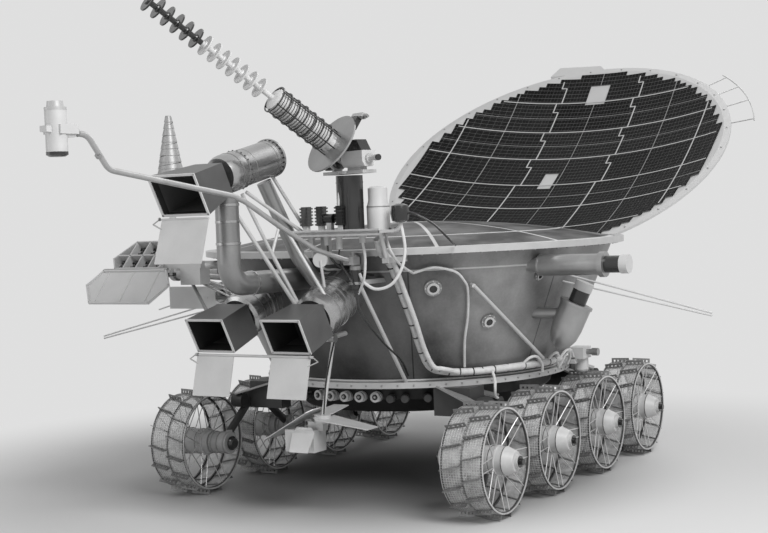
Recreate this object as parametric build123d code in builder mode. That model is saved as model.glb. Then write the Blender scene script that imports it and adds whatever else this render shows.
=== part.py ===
# Eight-wheeled planetary rover: a conical instrument tub with a hinged solar lid, wire wheels on
# swing arms, a steerable helical antenna and hooded cameras in front.
# Millimetres, X forward, Y to the rover's left, Z up, wheels standing on Z = 0.
from math import cos, radians, sin, sqrt
import os

from build123d import *

os.makedirs("parts", exist_ok=True)

# Where the middle of the wheelbase stands in the finished frame
CHASSIS_X = -160.0
CHASSIS_Y = 0.0

# Wheels
WHEELBASE = 1700.0
TRACK = 1600.0
WHEEL_R = 255.0
HOOP_R = 229.0
HOOP_T = 7.0
WHEEL_W = 200.0
LUGS_PER_ROW = 16
LUG_T = 5.0
LUG_SLANT = 14.0
SPOKES = 8
HUB_R = 62.0
AXLE_R = 20.0
AXLE_GAP = 0.05
WHEEL_PITCH = WHEELBASE / 3
AXLE_Z = WHEEL_R
RUN_GAP = 6.0

# Instrument tub
TUB_X = 20.0
RIM_R = 1060.0
RIM_TOP = 1185.0
RIM_T = 28.0
RIM_INNER_R = 1015.0
WALL_TOP_R = 1000.0
WALL_FOOT_R = 735.0
LEDGE_R = 766.0
LEDGE_TOP = 560.0
LEDGE_T = 28.0
BELLY_R = 690.0
BELLY_Z = 400.0
DECK_RISE = 110.0
REAR_FLAT_X = -900.0
SEAT_GAP = 0.3

# Solar lid and its hinge
HINGE_X = -930.0
HINGE_Z = 1150.0
LID_OPEN = 146.5
LID_R = 1076.0
LID_FLANGE = 42.0
LID_LOW = 40.0
LID_T = 14.0
LID_RISE = 150.0
ARRAY_T = 6.0
HINGE_YS = (-330.0, 0.0, 330.0)
HINGE_R = 8.0
KNUCKLE_R = 18.0
KNUCKLE_W = 50.0

# Upper camera: barrel axis from rear to front, hood mouth and flap in the plane of the axis
CAMERA_REAR = (1250.0, 0.0, 1604.0)
CAMERA_FRONT = (1640.0, 0.0, 1520.0)
CAMERA_R = 82.0
HOOD_W = 240.0
HOOD_TOP = (1930.0, 1530.0)
HOOD_LOW = (1842.0, 1366.0)
HOOD_BACK = (1650.0, 1480.0)
FLAP_END = (1902.0, 1187.0)
HOOD_T = 4.0

# Lower cameras, mirrored about the centre plane
LOWER_Y = 200.0
LOWER_W = 200.0
LOWER_REAR = (1010.0, 1000.0)
LOWER_FRONT = (1250.0, 905.0)
LOWER_R = 105.0
LOWER_TOP = (1511.0, 915.0)
LOWER_LOW = (1430.0, 767.0)
LOWER_FLAP_END = (1478.0, 593.0)

# Steerable antenna
MAST_XY = (1150.0, 345.0)
MAST_R = 58.0
MAST_FOOT = 1274.0
MAST_TOP = 1512.0
ANTENNA_PIVOT = (1150.0, 345.0, 1580.0)

# Magnetometer boom, points (x, z) in its own upright plane
BOOM_Y = 330.0
BOOM_R = 10.5
BOOM_POINTS = ((1150.0, 1142.0), (1405.0, 1203.0), (1643.0, 1302.0), (1882.0, 1412.0), (1957.0, 1436.0),
               (2425.0, 1502.0), (2648.0, 1534.0), (2745.0, 1650.0), (2835.0, 1660.0))
BOOM_AXIS_X = 1122.0


def write(piece, name, place=Location((0, 0, 0))):
    """Label a finished piece, set it in the vehicle's frame and write its file."""
    placed = piece.part.moved(Location((CHASSIS_X, CHASSIS_Y, 0)) * place)
    placed.label = name
    export_step(placed, f"parts/{name}.step")


def strut(start, end, radius, mode=Mode.ADD):
    """A straight round bar between two points, added to the piece being built."""
    run = Vector(*end) - Vector(*start)
    with BuildSketch(Plane(origin=tuple(start), z_dir=run)) as end_face:
        Circle(radius)
    extrude(end_face.sketch, amount=run.length, mode=mode)


def bent_tube(points, radius, bends):
    """A round tube along straight runs joined by tangent arcs."""
    with BuildLine() as path:
        FilletPolyline(*points, radius=bends)
    with BuildSketch(Plane(origin=path.line @ 0, z_dir=path.line % 0)) as end_face:
        Circle(radius)
    sweep(end_face.sketch, path=path.line)


def block(low, high, mode=Mode.ADD):
    """A square block between two opposite corners."""
    size = [b - a for a, b in zip(low, high)]
    middle = [(a + b) / 2 for a, b in zip(low, high)]
    with Locations(tuple(middle)):
        Box(*size, mode=mode)


# Tub wall: a cone from the ledge up to the rim, flat at the back where the lid is hinged
with BuildPart() as tub:
    with BuildSketch(Plane.XZ.offset(0)) as section:
        with BuildLine():
            Polyline((TUB_X, LEDGE_TOP), (TUB_X + WALL_FOOT_R, LEDGE_TOP),
                     (TUB_X + WALL_TOP_R, RIM_TOP - RIM_T), (TUB_X, RIM_TOP - RIM_T), close=True)
        make_face()
    revolve(axis=Axis((TUB_X, 0, 0), (0, 0, 1)))
    split(bisect_by=Plane(origin=(REAR_FLAT_X, 0, 0), z_dir=(1, 0, 0)), keep=Keep.TOP)
write(tub, "tub")

# Rim flange around the top of the tub
with BuildPart() as rim:
    with BuildSketch(Plane.XY.offset(RIM_TOP - RIM_T)):
        with Locations((TUB_X, 0)):
            Circle(RIM_R)
            Circle(RIM_INNER_R, mode=Mode.SUBTRACT)
    extrude(amount=RIM_T)
    split(bisect_by=Plane(origin=(REAR_FLAT_X, 0, 0), z_dir=(1, 0, 0)), keep=Keep.TOP)
write(rim, "rim_flange")

# Radiator deck: a shallow dome inside the rim
DECK_R = RIM_INNER_R - SEAT_GAP
DECK_SKIRT = RIM_T - 4
with BuildPart() as deck:
    with BuildSketch(Plane.XZ):
        with BuildLine():
            base_z = RIM_TOP - RIM_T
            edge_z = base_z + DECK_SKIRT
            crown_z = edge_z + DECK_RISE
            Line((TUB_X, base_z), (TUB_X + DECK_R, base_z))
            Line((TUB_X + DECK_R, base_z), (TUB_X + DECK_R, edge_z))
            sphere_r = (DECK_R**2 + DECK_RISE**2) / (2 * DECK_RISE)
            RadiusArc((TUB_X + DECK_R, edge_z), (TUB_X, crown_z), -sphere_r)
            Line((TUB_X, crown_z), (TUB_X, base_z))
        make_face()
    revolve(axis=Axis((TUB_X, 0, 0), (0, 0, 1)))
    split(bisect_by=Plane(origin=(REAR_FLAT_X, 0, 0), z_dir=(1, 0, 0)), keep=Keep.TOP)
write(deck, "radiator_deck")

# Ledge ring under the wall, which carries the suspension
with BuildPart() as ledge:
    with BuildSketch(Plane.XY.offset(LEDGE_TOP - LEDGE_T)):
        with Locations((TUB_X, 0)):
            Circle(LEDGE_R)
    extrude(amount=LEDGE_T)
write(ledge, "ledge_ring")

# Belly under the ledge
with BuildPart() as belly:
    with BuildSketch(Plane.XZ):
        with BuildLine():
            top_z = LEDGE_TOP - LEDGE_T
            Line((TUB_X, top_z), (TUB_X + BELLY_R, top_z))
            Line((TUB_X + BELLY_R, top_z), (TUB_X + BELLY_R - 20, BELLY_Z + 70))
            Line((TUB_X + BELLY_R - 20, BELLY_Z + 70), (TUB_X + BELLY_R - 110, BELLY_Z))
            Line((TUB_X + BELLY_R - 110, BELLY_Z), (TUB_X, BELLY_Z))
            Line((TUB_X, BELLY_Z), (TUB_X, top_z))
        make_face()
    revolve(axis=Axis((TUB_X, 0, 0), (0, 0, 1)))
write(belly, "belly")

# Suspension units: a bracket under the ledge, a torsion housing and two swing arms with axles
UNIT_Z = 440.0
UNIT_Y = 640.0
ARM_R = 19.0
for end, front in (("front", 1), ("rear", -1)):
    for side_name, side in (("left", 1), ("right", -1)):
        unit_x = front * WHEEL_PITCH
        with BuildPart() as unit:
            block((unit_x - 70, min(side * 430, side * 620), UNIT_Z - 40),
                  (unit_x + 70, max(side * 430, side * 620), LEDGE_TOP - LEDGE_T))
            strut((unit_x - 60, side * UNIT_Y, UNIT_Z), (unit_x + 60, side * UNIT_Y, UNIT_Z), 42)
            for step in (-1, 1):
                wheel_x = unit_x + step * WHEEL_PITCH / 2
                strut((unit_x + step * 45, side * UNIT_Y, UNIT_Z), (wheel_x, side * UNIT_Y, AXLE_Z), ARM_R)
                strut((wheel_x, side * 590, AXLE_Z), (wheel_x, side * (TRACK / 2 - WHEEL_W / 2 - 8), AXLE_Z), 52)
                strut((wheel_x, side * 600, AXLE_Z), (wheel_x, side * (TRACK / 2 - 20), AXLE_Z), AXLE_R)
            with BuildSketch(Plane.XY.offset(BELLY_Z - 200)):
                with Locations((TUB_X, 0)):
                    Circle(BELLY_R + SEAT_GAP)
            extrude(amount=LEDGE_TOP, mode=Mode.SUBTRACT)
        write(unit, f"suspension_{end}_{side_name}")

# Wheels: three hoops, two staggered rows of slanted lugs and wire spokes, on a stepped hub.
# Each is made with its axis along Z, the inner hoop at Z = 0, and turned into its place.
HUB_STEPS = ((0.0, 75.0), (95.0, HUB_R), (190.0, 48.0), (255.0, 30.0), (282.0, 0.0))
SPOKE_ROOTS = ((3.0, 30.0, 0.0), (WHEEL_W - 4.0, 170.0, 0.5))
FLANGE_R = HUB_R + 16
with BuildPart() as spoke_set:
    for hoop_at, hub_at, shift in SPOKE_ROOTS:
        with BuildSketch(Plane.XY.offset(hub_at - 4)):
            Circle(FLANGE_R + 6)
            Circle(FLANGE_R, mode=Mode.SUBTRACT)
        extrude(amount=8)
        root = Vector(FLANGE_R + 3, 0, hub_at)
        run = Vector(HOOP_R - 3, 0, hoop_at) - root
        with BuildPart(mode=Mode.PRIVATE) as spoke:
            with BuildSketch(Plane(origin=root, x_dir=(0, 1, 0), z_dir=run)):
                Rectangle(5, 5)
            extrude(amount=run.length)
        with PolarLocations(0, SPOKES, start_angle=shift * 360 / SPOKES):
            add(spoke.part)
with BuildPart() as hub:
    for (at, radius), (until, _) in zip(HUB_STEPS, HUB_STEPS[1:]):
        with BuildSketch(Plane.XY.offset(at)):
            Circle(radius)
        extrude(amount=until - at)
    for _, hub_at, _ in SPOKE_ROOTS:
        with BuildSketch(Plane.XY.offset(hub_at - 3)):
            Circle(FLANGE_R - SEAT_GAP)
        extrude(amount=6)
    with BuildSketch():
        Circle(AXLE_R + AXLE_GAP)
    extrude(amount=90, mode=Mode.SUBTRACT)
for side_name, side in (("left", 1), ("right", -1)):
    with BuildPart() as cage:
        for hoop_at in (0.0, (WHEEL_W - HOOP_T) / 2, WHEEL_W - HOOP_T):
            with BuildSketch(Plane.XY.offset(hoop_at)):
                Circle(HOOP_R)
                Circle(HOOP_R - HOOP_T, mode=Mode.SUBTRACT)
            extrude(amount=HOOP_T)
        add(spoke_set.part)
        slant = radians(LUG_SLANT) * side
        lean = Vector(0, -sin(slant), cos(slant))
        lug_mid = (HOOP_R + WHEEL_R - HOOP_T) / 2
        for lug_row in (0, 1):
            middle = Vector(lug_mid, 0, (0.25 + 0.5 * lug_row) * WHEEL_W)
            with BuildPart(mode=Mode.PRIVATE) as lug:
                with BuildSketch(Plane(origin=middle - lean * (WHEEL_W / 4 - 1), x_dir=(1, 0, 0), z_dir=lean)):
                    Rectangle(WHEEL_R - HOOP_R + HOOP_T, LUG_T)
                extrude(amount=WHEEL_W / 2 - 2)
            with PolarLocations(0, LUGS_PER_ROW, start_angle=lug_row * 180 / LUGS_PER_ROW):
                add(lug.part)
    for row in range(4):
        wheel_x = WHEELBASE / 2 - row * WHEEL_PITCH
        place = Location((wheel_x, side * (TRACK - WHEEL_W) / 2, AXLE_Z), (-90 * side, 0, 0))
        write(cage, f"wheel_{row + 1}_{side_name}", place)
        write(hub, f"hub_{row + 1}_{side_name}", place)

# Solar lid: a shallow dish with a flat rear edge, shown open
open_cos = cos(radians(LID_OPEN))
open_sin = sin(radians(LID_OPEN))
lid_plane = Plane(origin=(HINGE_X, 0, HINGE_Z), x_dir=(open_cos, 0, open_sin), z_dir=(-open_sin, 0, open_cos))
lid_section = Plane(origin=lid_plane.origin, x_dir=lid_plane.x_dir, z_dir=(0, -1, 0))
LID_CENTRE = TUB_X - HINGE_X
LID_CUT = 8.0
LID_BEAM = 470.0
dish_r = LID_R - LID_FLANGE
dish_sphere = (dish_r**2 + LID_RISE**2) / (2 * LID_RISE)
lid_axis = Axis(tuple(lid_plane.from_local_coords(Vector(LID_CENTRE, 0, 0))), tuple(lid_plane.z_dir))
with BuildPart() as lid:
    with BuildSketch(lid_section):
        with BuildLine():
            Line((LID_CENTRE + LID_R, LID_LOW), (LID_CENTRE + LID_R, LID_LOW + LID_T))
            Line((LID_CENTRE + LID_R, LID_LOW + LID_T), (LID_CENTRE + dish_r, LID_LOW + LID_T))
            RadiusArc((LID_CENTRE + dish_r, LID_LOW + LID_T), (LID_CENTRE, LID_LOW + LID_T + LID_RISE), -dish_sphere)
            Line((LID_CENTRE, LID_LOW + LID_T + LID_RISE), (LID_CENTRE, LID_LOW + LID_RISE))
            RadiusArc((LID_CENTRE, LID_LOW + LID_RISE), (LID_CENTRE + dish_r, LID_LOW), dish_sphere)
            Line((LID_CENTRE + dish_r, LID_LOW), (LID_CENTRE + LID_R, LID_LOW))
        make_face()
    revolve(axis=lid_axis)
    split(bisect_by=Plane(origin=tuple(lid_plane.from_local_coords(Vector(LID_CUT, 0, 0))),
                          z_dir=tuple(lid_plane.x_dir)), keep=Keep.TOP)
    with BuildSketch(Plane(origin=(HINGE_X, LID_BEAM, HINGE_Z), x_dir=lid_plane.x_dir, z_dir=(0, -1, 0))):
        with Locations((LID_CUT + 8, LID_LOW + 21)):
            Rectangle(16, 42)
    extrude(amount=2 * LID_BEAM)
    for y in HINGE_YS:
        knuckle = Plane(origin=(HINGE_X, y + KNUCKLE_W / 2, HINGE_Z), x_dir=lid_plane.x_dir, z_dir=(0, -1, 0))
        with BuildSketch(knuckle):
            Circle(KNUCKLE_R)
            with Locations((KNUCKLE_R * 0.3, (LID_LOW + LID_T) / 2)):
                Rectangle(KNUCKLE_R * 1.4, LID_LOW + LID_T)
            Circle(HINGE_R + AXLE_GAP, mode=Mode.SUBTRACT)
        extrude(amount=KNUCKLE_W)
write(lid, "lid_dish")

# Solar cell array lining the dish
with BuildPart() as array:
    with BuildSketch(lid_section):
        with BuildLine():
            top = LID_LOW + LID_RISE - SEAT_GAP
            low = LID_LOW - SEAT_GAP
            array_r = dish_r - 12
            drop = dish_sphere - sqrt(dish_sphere**2 - array_r**2)
            RadiusArc((LID_CENTRE + array_r, top - drop), (LID_CENTRE, top), -dish_sphere)
            Line((LID_CENTRE, top), (LID_CENTRE, top - ARRAY_T))
            RadiusArc((LID_CENTRE, top - ARRAY_T), (LID_CENTRE + array_r, top - drop - ARRAY_T), dish_sphere)
            Line((LID_CENTRE + array_r, top - drop - ARRAY_T), (LID_CENTRE + array_r, top - drop))
        make_face()
    revolve(axis=lid_axis)
    split(bisect_by=Plane(origin=tuple(lid_plane.from_local_coords(Vector(LID_CUT + 30, 0, 0))),
                          z_dir=tuple(lid_plane.x_dir)), keep=Keep.TOP)
write(array, "solar_array")

# Hinge brackets on the rear flat, with the hinge pin through them
EAR_Y = KNUCKLE_W / 2 + 13
with BuildPart() as hinge:
    for y in HINGE_YS:
        for ear in (-1, 1):
            block((HINGE_X, y + ear * EAR_Y - 8, HINGE_Z - 28), (REAR_FLAT_X, y + ear * EAR_Y + 8, HINGE_Z + 7))
            strut((HINGE_X, y + ear * EAR_Y - 8, HINGE_Z), (HINGE_X, y + ear * EAR_Y + 8, HINGE_Z), 16)
    strut((HINGE_X, HINGE_YS[0] - 50, HINGE_Z), (HINGE_X, HINGE_YS[-1] + 50, HINGE_Z), HINGE_R)
write(hinge, "lid_hinge")

# Camera barrels: one high in front and two low
with BuildPart() as barrels:
    strut(CAMERA_REAR, CAMERA_FRONT, CAMERA_R)
    for side in (-1, 1):
        y = side * LOWER_Y
        strut((LOWER_REAR[0], y, LOWER_REAR[1]), (LOWER_FRONT[0], y, LOWER_FRONT[1]), LOWER_R)
        with Locations((LOWER_REAR[0], y, LOWER_REAR[1])):
            Sphere(LOWER_R)
    add(tub.part, mode=Mode.SUBTRACT)
write(barrels, "camera_barrels")


def hood(y, width, back, top, low, back_half):
    """A four-sided camera hood, open in front, as a thin loft on the barrel's axis."""
    slope = Vector(top[0] - low[0], 0, top[1] - low[1])
    mouth_origin = Vector((top[0] + low[0]) / 2, y, (top[1] + low[1]) / 2)
    facing = Vector(slope.Z, 0, -slope.X).normalized()
    mouth = Plane(origin=mouth_origin, x_dir=(0, 1, 0), z_dir=facing)
    rear = Plane(origin=(back[0], y, back[1]), x_dir=(0, 1, 0), z_dir=facing)
    for inset, mode in ((0, Mode.ADD), (HOOD_T, Mode.SUBTRACT)):
        with BuildSketch(mouth) as front_edge:
            Rectangle(width - 2 * inset, slope.length - 2 * inset)
        with BuildSketch(rear) as back_edge:
            Rectangle(2 * back_half - 2 * inset, 2 * back_half - 2 * inset)
        loft([back_edge.sketch, front_edge.sketch], mode=mode)


# Camera hoods
with BuildPart() as hoods:
    hood(0.0, HOOD_W, (1648.0, 1516.0), HOOD_TOP, HOOD_LOW, 70)
    for side in (-1, 1):
        hood(side * LOWER_Y, LOWER_W, (1262.0, 898.0), LOWER_TOP, LOWER_LOW, 80)
    add(barrels.part, mode=Mode.SUBTRACT)
write(hoods, "camera_hoods")

# Camera flaps, hinged along the lower edge of each hood's mouth
FLAP_T = 4.0
with BuildPart() as upper_flap:
    down = Vector(FLAP_END[0] - HOOD_LOW[0], 0, FLAP_END[1] - HOOD_LOW[1])
    start = Vector(HOOD_LOW[0] + 4, 0, HOOD_LOW[1] - 12)
    with BuildSketch(Plane(origin=start, x_dir=(0, 1, 0), z_dir=down)):
        Rectangle(HOOD_W, FLAP_T)
    extrude(amount=down.length)
    strut((start.X, -HOOD_W / 2, start.Z), (start.X, HOOD_W / 2, start.Z), 5)
write(upper_flap, "upper_camera_flap")

with BuildPart() as lower_flaps:
    down = Vector(LOWER_FLAP_END[0] - LOWER_LOW[0], 0, LOWER_FLAP_END[1] - LOWER_LOW[1])
    start = Vector(LOWER_LOW[0] + 4, 0, LOWER_LOW[1] - 12)
    for side in (-1, 1):
        with BuildSketch(Plane(origin=(start.X, side * LOWER_Y, start.Z), x_dir=(0, 1, 0), z_dir=down)):
            Rectangle(LOWER_W, FLAP_T)
        extrude(amount=down.length)
    strut((start.X, -LOWER_Y - LOWER_W / 2 - 12, start.Z), (start.X, LOWER_Y + LOWER_W / 2 + 12, start.Z), 6)
write(lower_flaps, "lower_camera_flaps")

# Pipes and struts that carry the upper camera
with BuildPart() as camera_supports:
    bent_tube(((1570, 0, 1440), (1570, 0, 1070), (930, 0, 1062)), 50, [90])
    bent_tube(((1300, 0, 1500), (1165, 72, 1165), (1085, 150, 1000)), 33, [90])
    add(barrels.part, mode=Mode.SUBTRACT)
    add(tub.part, mode=Mode.SUBTRACT)
write(camera_supports, "camera_supports")

# Instrument platform in front of the rim, which carries the antenna mast
with BuildPart() as platform:
    block((1104, 90, 1262), (1222, 535, 1274))
    block((1104, 170, 1128), (1130, 210, 1262))
    block((920, 170, 1128), (1104, 210, 1152))
    block((920, 455, 1128), (1085, 485, 1152))
    strut((1072, 470, 1140), (1120, 470, 1266), 10)
    add(tub.part, mode=Mode.SUBTRACT)
write(platform, "instrument_platform")

# Antenna mast
with BuildPart() as mast:
    strut((*MAST_XY, MAST_FOOT), (*MAST_XY, MAST_TOP), MAST_R)
write(mast, "antenna_mast")

# Antenna turret, which turns on the mast: a foot, a gearbox and a motor drum on the elevation axis
ANTENNA_AZIMUTH = -23.9
ANTENNA_ELEVATION = 34.3
turret_foot = Plane(origin=(*MAST_XY, MAST_TOP + RUN_GAP), x_dir=(1, 0, 0), z_dir=(0, 0, 1)).rotated(
    (0, 0, ANTENNA_AZIMUTH))
forward = turret_foot.x_dir
across = turret_foot.y_dir
pivot = Vector(*ANTENNA_PIVOT)
shaft_r = 12.0
with BuildPart() as turret:
    with BuildSketch(turret_foot):
        Circle(48)
        with Locations((0, 8)):
            Rectangle(70, 400)
    extrude(amount=14)
    with BuildSketch(Plane(origin=pivot - across * 20, x_dir=forward, z_dir=across)):
        RegularPolygon(38, 8)
        with Locations((0, 30)):
            Rectangle(40, 44)
    extrude(amount=230)
    strut(pivot - across * 195, pivot - across * 75, 43)
    for at in (-190, -100):
        with BuildSketch(Plane(origin=pivot + across * at, x_dir=forward, z_dir=across)):
            with Locations((0, 28)):
                Rectangle(40, 50)
        extrude(amount=14)
    strut(pivot - across * 110, pivot + across * 30, shaft_r + AXLE_GAP, mode=Mode.SUBTRACT)
write(turret, "antenna_turret")

# Helical antenna: reflector plate, cage and a row of discs along its axis
axis_dir = forward * cos(radians(ANTENNA_ELEVATION)) + Vector(0, 0, sin(radians(ANTENNA_ELEVATION)))
plate_centre = pivot + forward * 77 + Vector(0, 0, 65)
plate_plane = Plane(origin=plate_centre, x_dir=across, z_dir=axis_dir)
with BuildPart() as helix:
    with BuildSketch(plate_plane):
        Circle(140)
    extrude(amount=8)
    strut(plate_centre, plate_centre + axis_dir * 1010, 12)
    strut(plate_centre, plate_centre + axis_dir * 300, 34)
    for k in range(7):
        with BuildSketch(plate_plane.offset(70 + 48 * k)):
            Circle(64)
        extrude(amount=5)
    for k in range(13):
        with BuildSketch(plate_plane.offset(420 + 49 * k)):
            Circle(44)
        extrude(amount=4)
    strut(pivot - across * 108, pivot + across * 28, shaft_r)
    with BuildSketch(Plane(origin=pivot - across * 62, x_dir=axis_dir, z_dir=across)):
        Circle(22)
        with Locations((50, 0)):
            Rectangle(104, 40)
    extrude(amount=30)
write(helix, "helical_antenna")

# Corner reflector box and its cover
with BuildPart() as reflector:
    block((1210, -900, 1140), (1300, -580, 1275))
    strut((880, -380, 1050), (1230, -600, 1150), 14)
    add(tub.part, mode=Mode.SUBTRACT)
write(reflector, "laser_reflector")

with BuildPart() as cover:
    fall = Vector(130, 0, -150)
    with BuildSketch(Plane(origin=(1308, -745, 1128), x_dir=(0, 1, 0), z_dir=fall)):
        Rectangle(380, 5)
    extrude(amount=fall.length)
write(cover, "reflector_cover")

# Magnetometer drive and boom
with BuildPart() as drive:
    block((1040, 300, 1157), (1100, 360, 1178))
    strut((BOOM_AXIS_X, BOOM_Y + 10, 1060), (BOOM_AXIS_X, BOOM_Y + 10, 1120), 25)
    block((1085, 305, 1100), (1100, 375, 1178))
write(drive, "boom_drive")

with BuildPart() as boom:
    points = [(x, BOOM_Y, z) for x, z in BOOM_POINTS]
    bent_tube(points, BOOM_R, [200, 200, 120, 120, 200, 70, 60])
    block((BOOM_AXIS_X - 15, 305, 1126), (BOOM_AXIS_X + 40, 355, 1160))
    strut((2891, BOOM_Y, 1590), (2891, BOOM_Y, 1730), 36)
    block((2830, 300, 1640), (2900, 360, 1685))
write(boom, "magnetometer_boom")

# Soil spectrometer on its arm
with BuildPart() as spectrometer:
    strut((1000, 130, 780), (1050, 88, 440), 9)
    strut((1050, 88, 415), (1050, 88, 450), 38)
    block((1010, -80, 285), (1110, 75, 385))
    block((1030, 20, 380), (1070, 100, 420))
write(spectrometer, "spectrometer")

with BuildPart() as spectrometer_bracket:
    strut((850, 100, 800), (1000, 100, 790), 12)
    strut((1000, 90, 790), (1000, 115, 790), 16)
    add(tub.part, mode=Mode.SUBTRACT)
write(spectrometer_bracket, "spectrometer_bracket")

# Panoramic telephotometers on both sides
with BuildPart() as photometers:
    for side in (-1, 1):
        strut((450, side * 860, 1080), (450, side * 1310, 1080), 45)
        strut((340, side * 900, 700), (300, side * 975, 985), 70)
    add(tub.part, mode=Mode.SUBTRACT)
write(photometers, "telephotometers")

# Conical antenna on its post
with BuildPart() as cone:
    with Locations((1000, -766, 1560)):
        Cone(62, 12, 290, align=(Align.CENTER, Align.CENTER, Align.MIN))
    strut((1000, -766, 1110), (1000, -766, 1562), 16)
    strut((1000, -766, 1120), (760, -560, 1120), 16)
    add(tub.part, mode=Mode.SUBTRACT)
write(cone, "cone_antenna")

# Whip antennas
with BuildPart() as whips:
    strut((220, 850, 1045), (150, 1600, 840), 4)
    strut((420, -780, 957), (610, -1600, 740), 4)
    add(tub.part, mode=Mode.SUBTRACT)
write(whips, "whip_antennas")

# Heat source on the back
with BuildPart() as heater:
    strut((-740, 0, 700), (-1080, 0, 720), 140)
    add(tub.part, mode=Mode.SUBTRACT)
write(heater, "isotope_heat_source")

# Odometer wheel trailing behind the belly
with BuildPart() as odometer_arm:
    strut((-700, -270, 420), (-960, -270, 110), 12)
    strut((-960, -290, 104), (-960, -255, 104), 14)
write(odometer_arm, "odometer_arm")

with BuildPart() as odometer_bracket:
    block((-720, -330, 402), (-650, -300, 500))
write(odometer_bracket, "odometer_bracket")

with BuildPart() as odometer_wheel:
    strut((-960, -249, 104), (-960, -215, 104), 100)
write(odometer_wheel, "odometer_wheel")

# Soil penetrometer beside it
with BuildPart() as penetrometer:
    strut((-760, 250, 300), (-760, 250, 520), 38)
write(penetrometer, "soil_penetrometer")
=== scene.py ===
import math

import bpy
from mathutils import Matrix, Vector


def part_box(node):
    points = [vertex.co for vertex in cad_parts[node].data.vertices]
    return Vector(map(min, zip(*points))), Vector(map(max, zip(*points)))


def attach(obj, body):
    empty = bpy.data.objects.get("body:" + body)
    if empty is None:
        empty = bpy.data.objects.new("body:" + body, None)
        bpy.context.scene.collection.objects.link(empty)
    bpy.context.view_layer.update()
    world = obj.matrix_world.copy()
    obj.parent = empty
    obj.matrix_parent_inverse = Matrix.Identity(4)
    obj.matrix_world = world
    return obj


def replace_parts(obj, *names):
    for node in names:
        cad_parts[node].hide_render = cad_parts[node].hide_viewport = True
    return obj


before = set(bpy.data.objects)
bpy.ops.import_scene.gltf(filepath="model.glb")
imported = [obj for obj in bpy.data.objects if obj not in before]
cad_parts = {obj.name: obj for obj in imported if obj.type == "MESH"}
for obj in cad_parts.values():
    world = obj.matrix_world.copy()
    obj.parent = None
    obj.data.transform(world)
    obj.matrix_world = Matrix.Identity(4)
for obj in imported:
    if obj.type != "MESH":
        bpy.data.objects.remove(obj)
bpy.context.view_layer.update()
scene = bpy.context.scene
scene.view_settings.view_transform = "Standard"


# The studio: a pale paper floor swept up behind the vehicle, with a large soft window light on the
# camera's side, a weaker fill, and a camera at the height of the tub's rim, to the front and left.
ledge_low, ledge_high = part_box("ledge_ring")
LEDGE_MIDDLE_X = 0.020
CHASSIS_X = (ledge_low.x + ledge_high.x) / 2 - LEDGE_MIDDLE_X


def at(x, y, z):
    """A point in the vehicle's frame, in metres, from the drawing's millimetres about its chassis."""
    return Vector((CHASSIS_X + x / 1000, y / 1000, z / 1000))


CAMERA_AT = at(6346.1, 3670.8, 1366.5)
CAMERA_YAW = -2.5956
CAMERA_PITCH = -0.0389
CAMERA_ROLL = -0.0394
CAMERA_LENS = 66.96
CAMERA_SHIFT = (-0.0026, -0.0038)
PAPER = (0.74, 0.74, 0.74, 1)
PAPER_SIZE = 60.0
FLOOR_TONE = 0.72
# Painted shadow: the floor's colour is this dark tone within the first distance of the middle, and rises to
# FLOOR_TONE by the second.
FLOOR_PAINTED_SHADOW = 0.13
PAINTED_SHADOW_REACH = (0.35, 1.55)
SHADOW_REACH = (1.7, 3.6)
ROOM_GLOW = 0.27
LIGHT_TARGET = Vector((0, 0, 0.8))
LIGHT_SIZE = 4.0
LIGHTS = (("window", (3.5, 5.0, 5.5), 440), ("fill", (5.5, -4.0, 3.0), 45), ("rear", (-5.0, 1.0, 5.0), 90))


def set_up_camera():
    """The camera that took the view, looking along its yaw and pitch and rolled about that line."""
    ahead = Vector((math.cos(CAMERA_YAW) * math.cos(CAMERA_PITCH),
                    math.sin(CAMERA_YAW) * math.cos(CAMERA_PITCH), math.sin(CAMERA_PITCH)))
    right = ahead.cross(Vector((0, 0, 1))).normalized()
    up = right.cross(ahead)
    rolled_right = right * math.cos(CAMERA_ROLL) + up * math.sin(CAMERA_ROLL)
    rolled_up = up * math.cos(CAMERA_ROLL) - right * math.sin(CAMERA_ROLL)
    data = bpy.data.cameras.new("camera")
    data.sensor_fit = "HORIZONTAL"
    data.sensor_width = 36.0
    data.lens = CAMERA_LENS
    data.shift_x, data.shift_y = CAMERA_SHIFT
    data.clip_end = 200.0
    camera = bpy.data.objects.new("camera", data)
    turn = Matrix((rolled_right, rolled_up, -ahead)).transposed().to_4x4()
    camera.matrix_world = Matrix.Translation(CAMERA_AT) @ turn
    scene.collection.objects.link(camera)
    scene.camera = camera


def add_light(name, place, watts):
    data = bpy.data.lights.new(name, "AREA")
    data.shape = "DISK"
    data.size = LIGHT_SIZE
    data.energy = watts
    light = bpy.data.objects.new(name, data)
    light.location = place
    light.rotation_euler = (LIGHT_TARGET - Vector(place)).to_track_quat("-Z", "Y").to_euler()
    scene.collection.objects.link(light)


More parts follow.
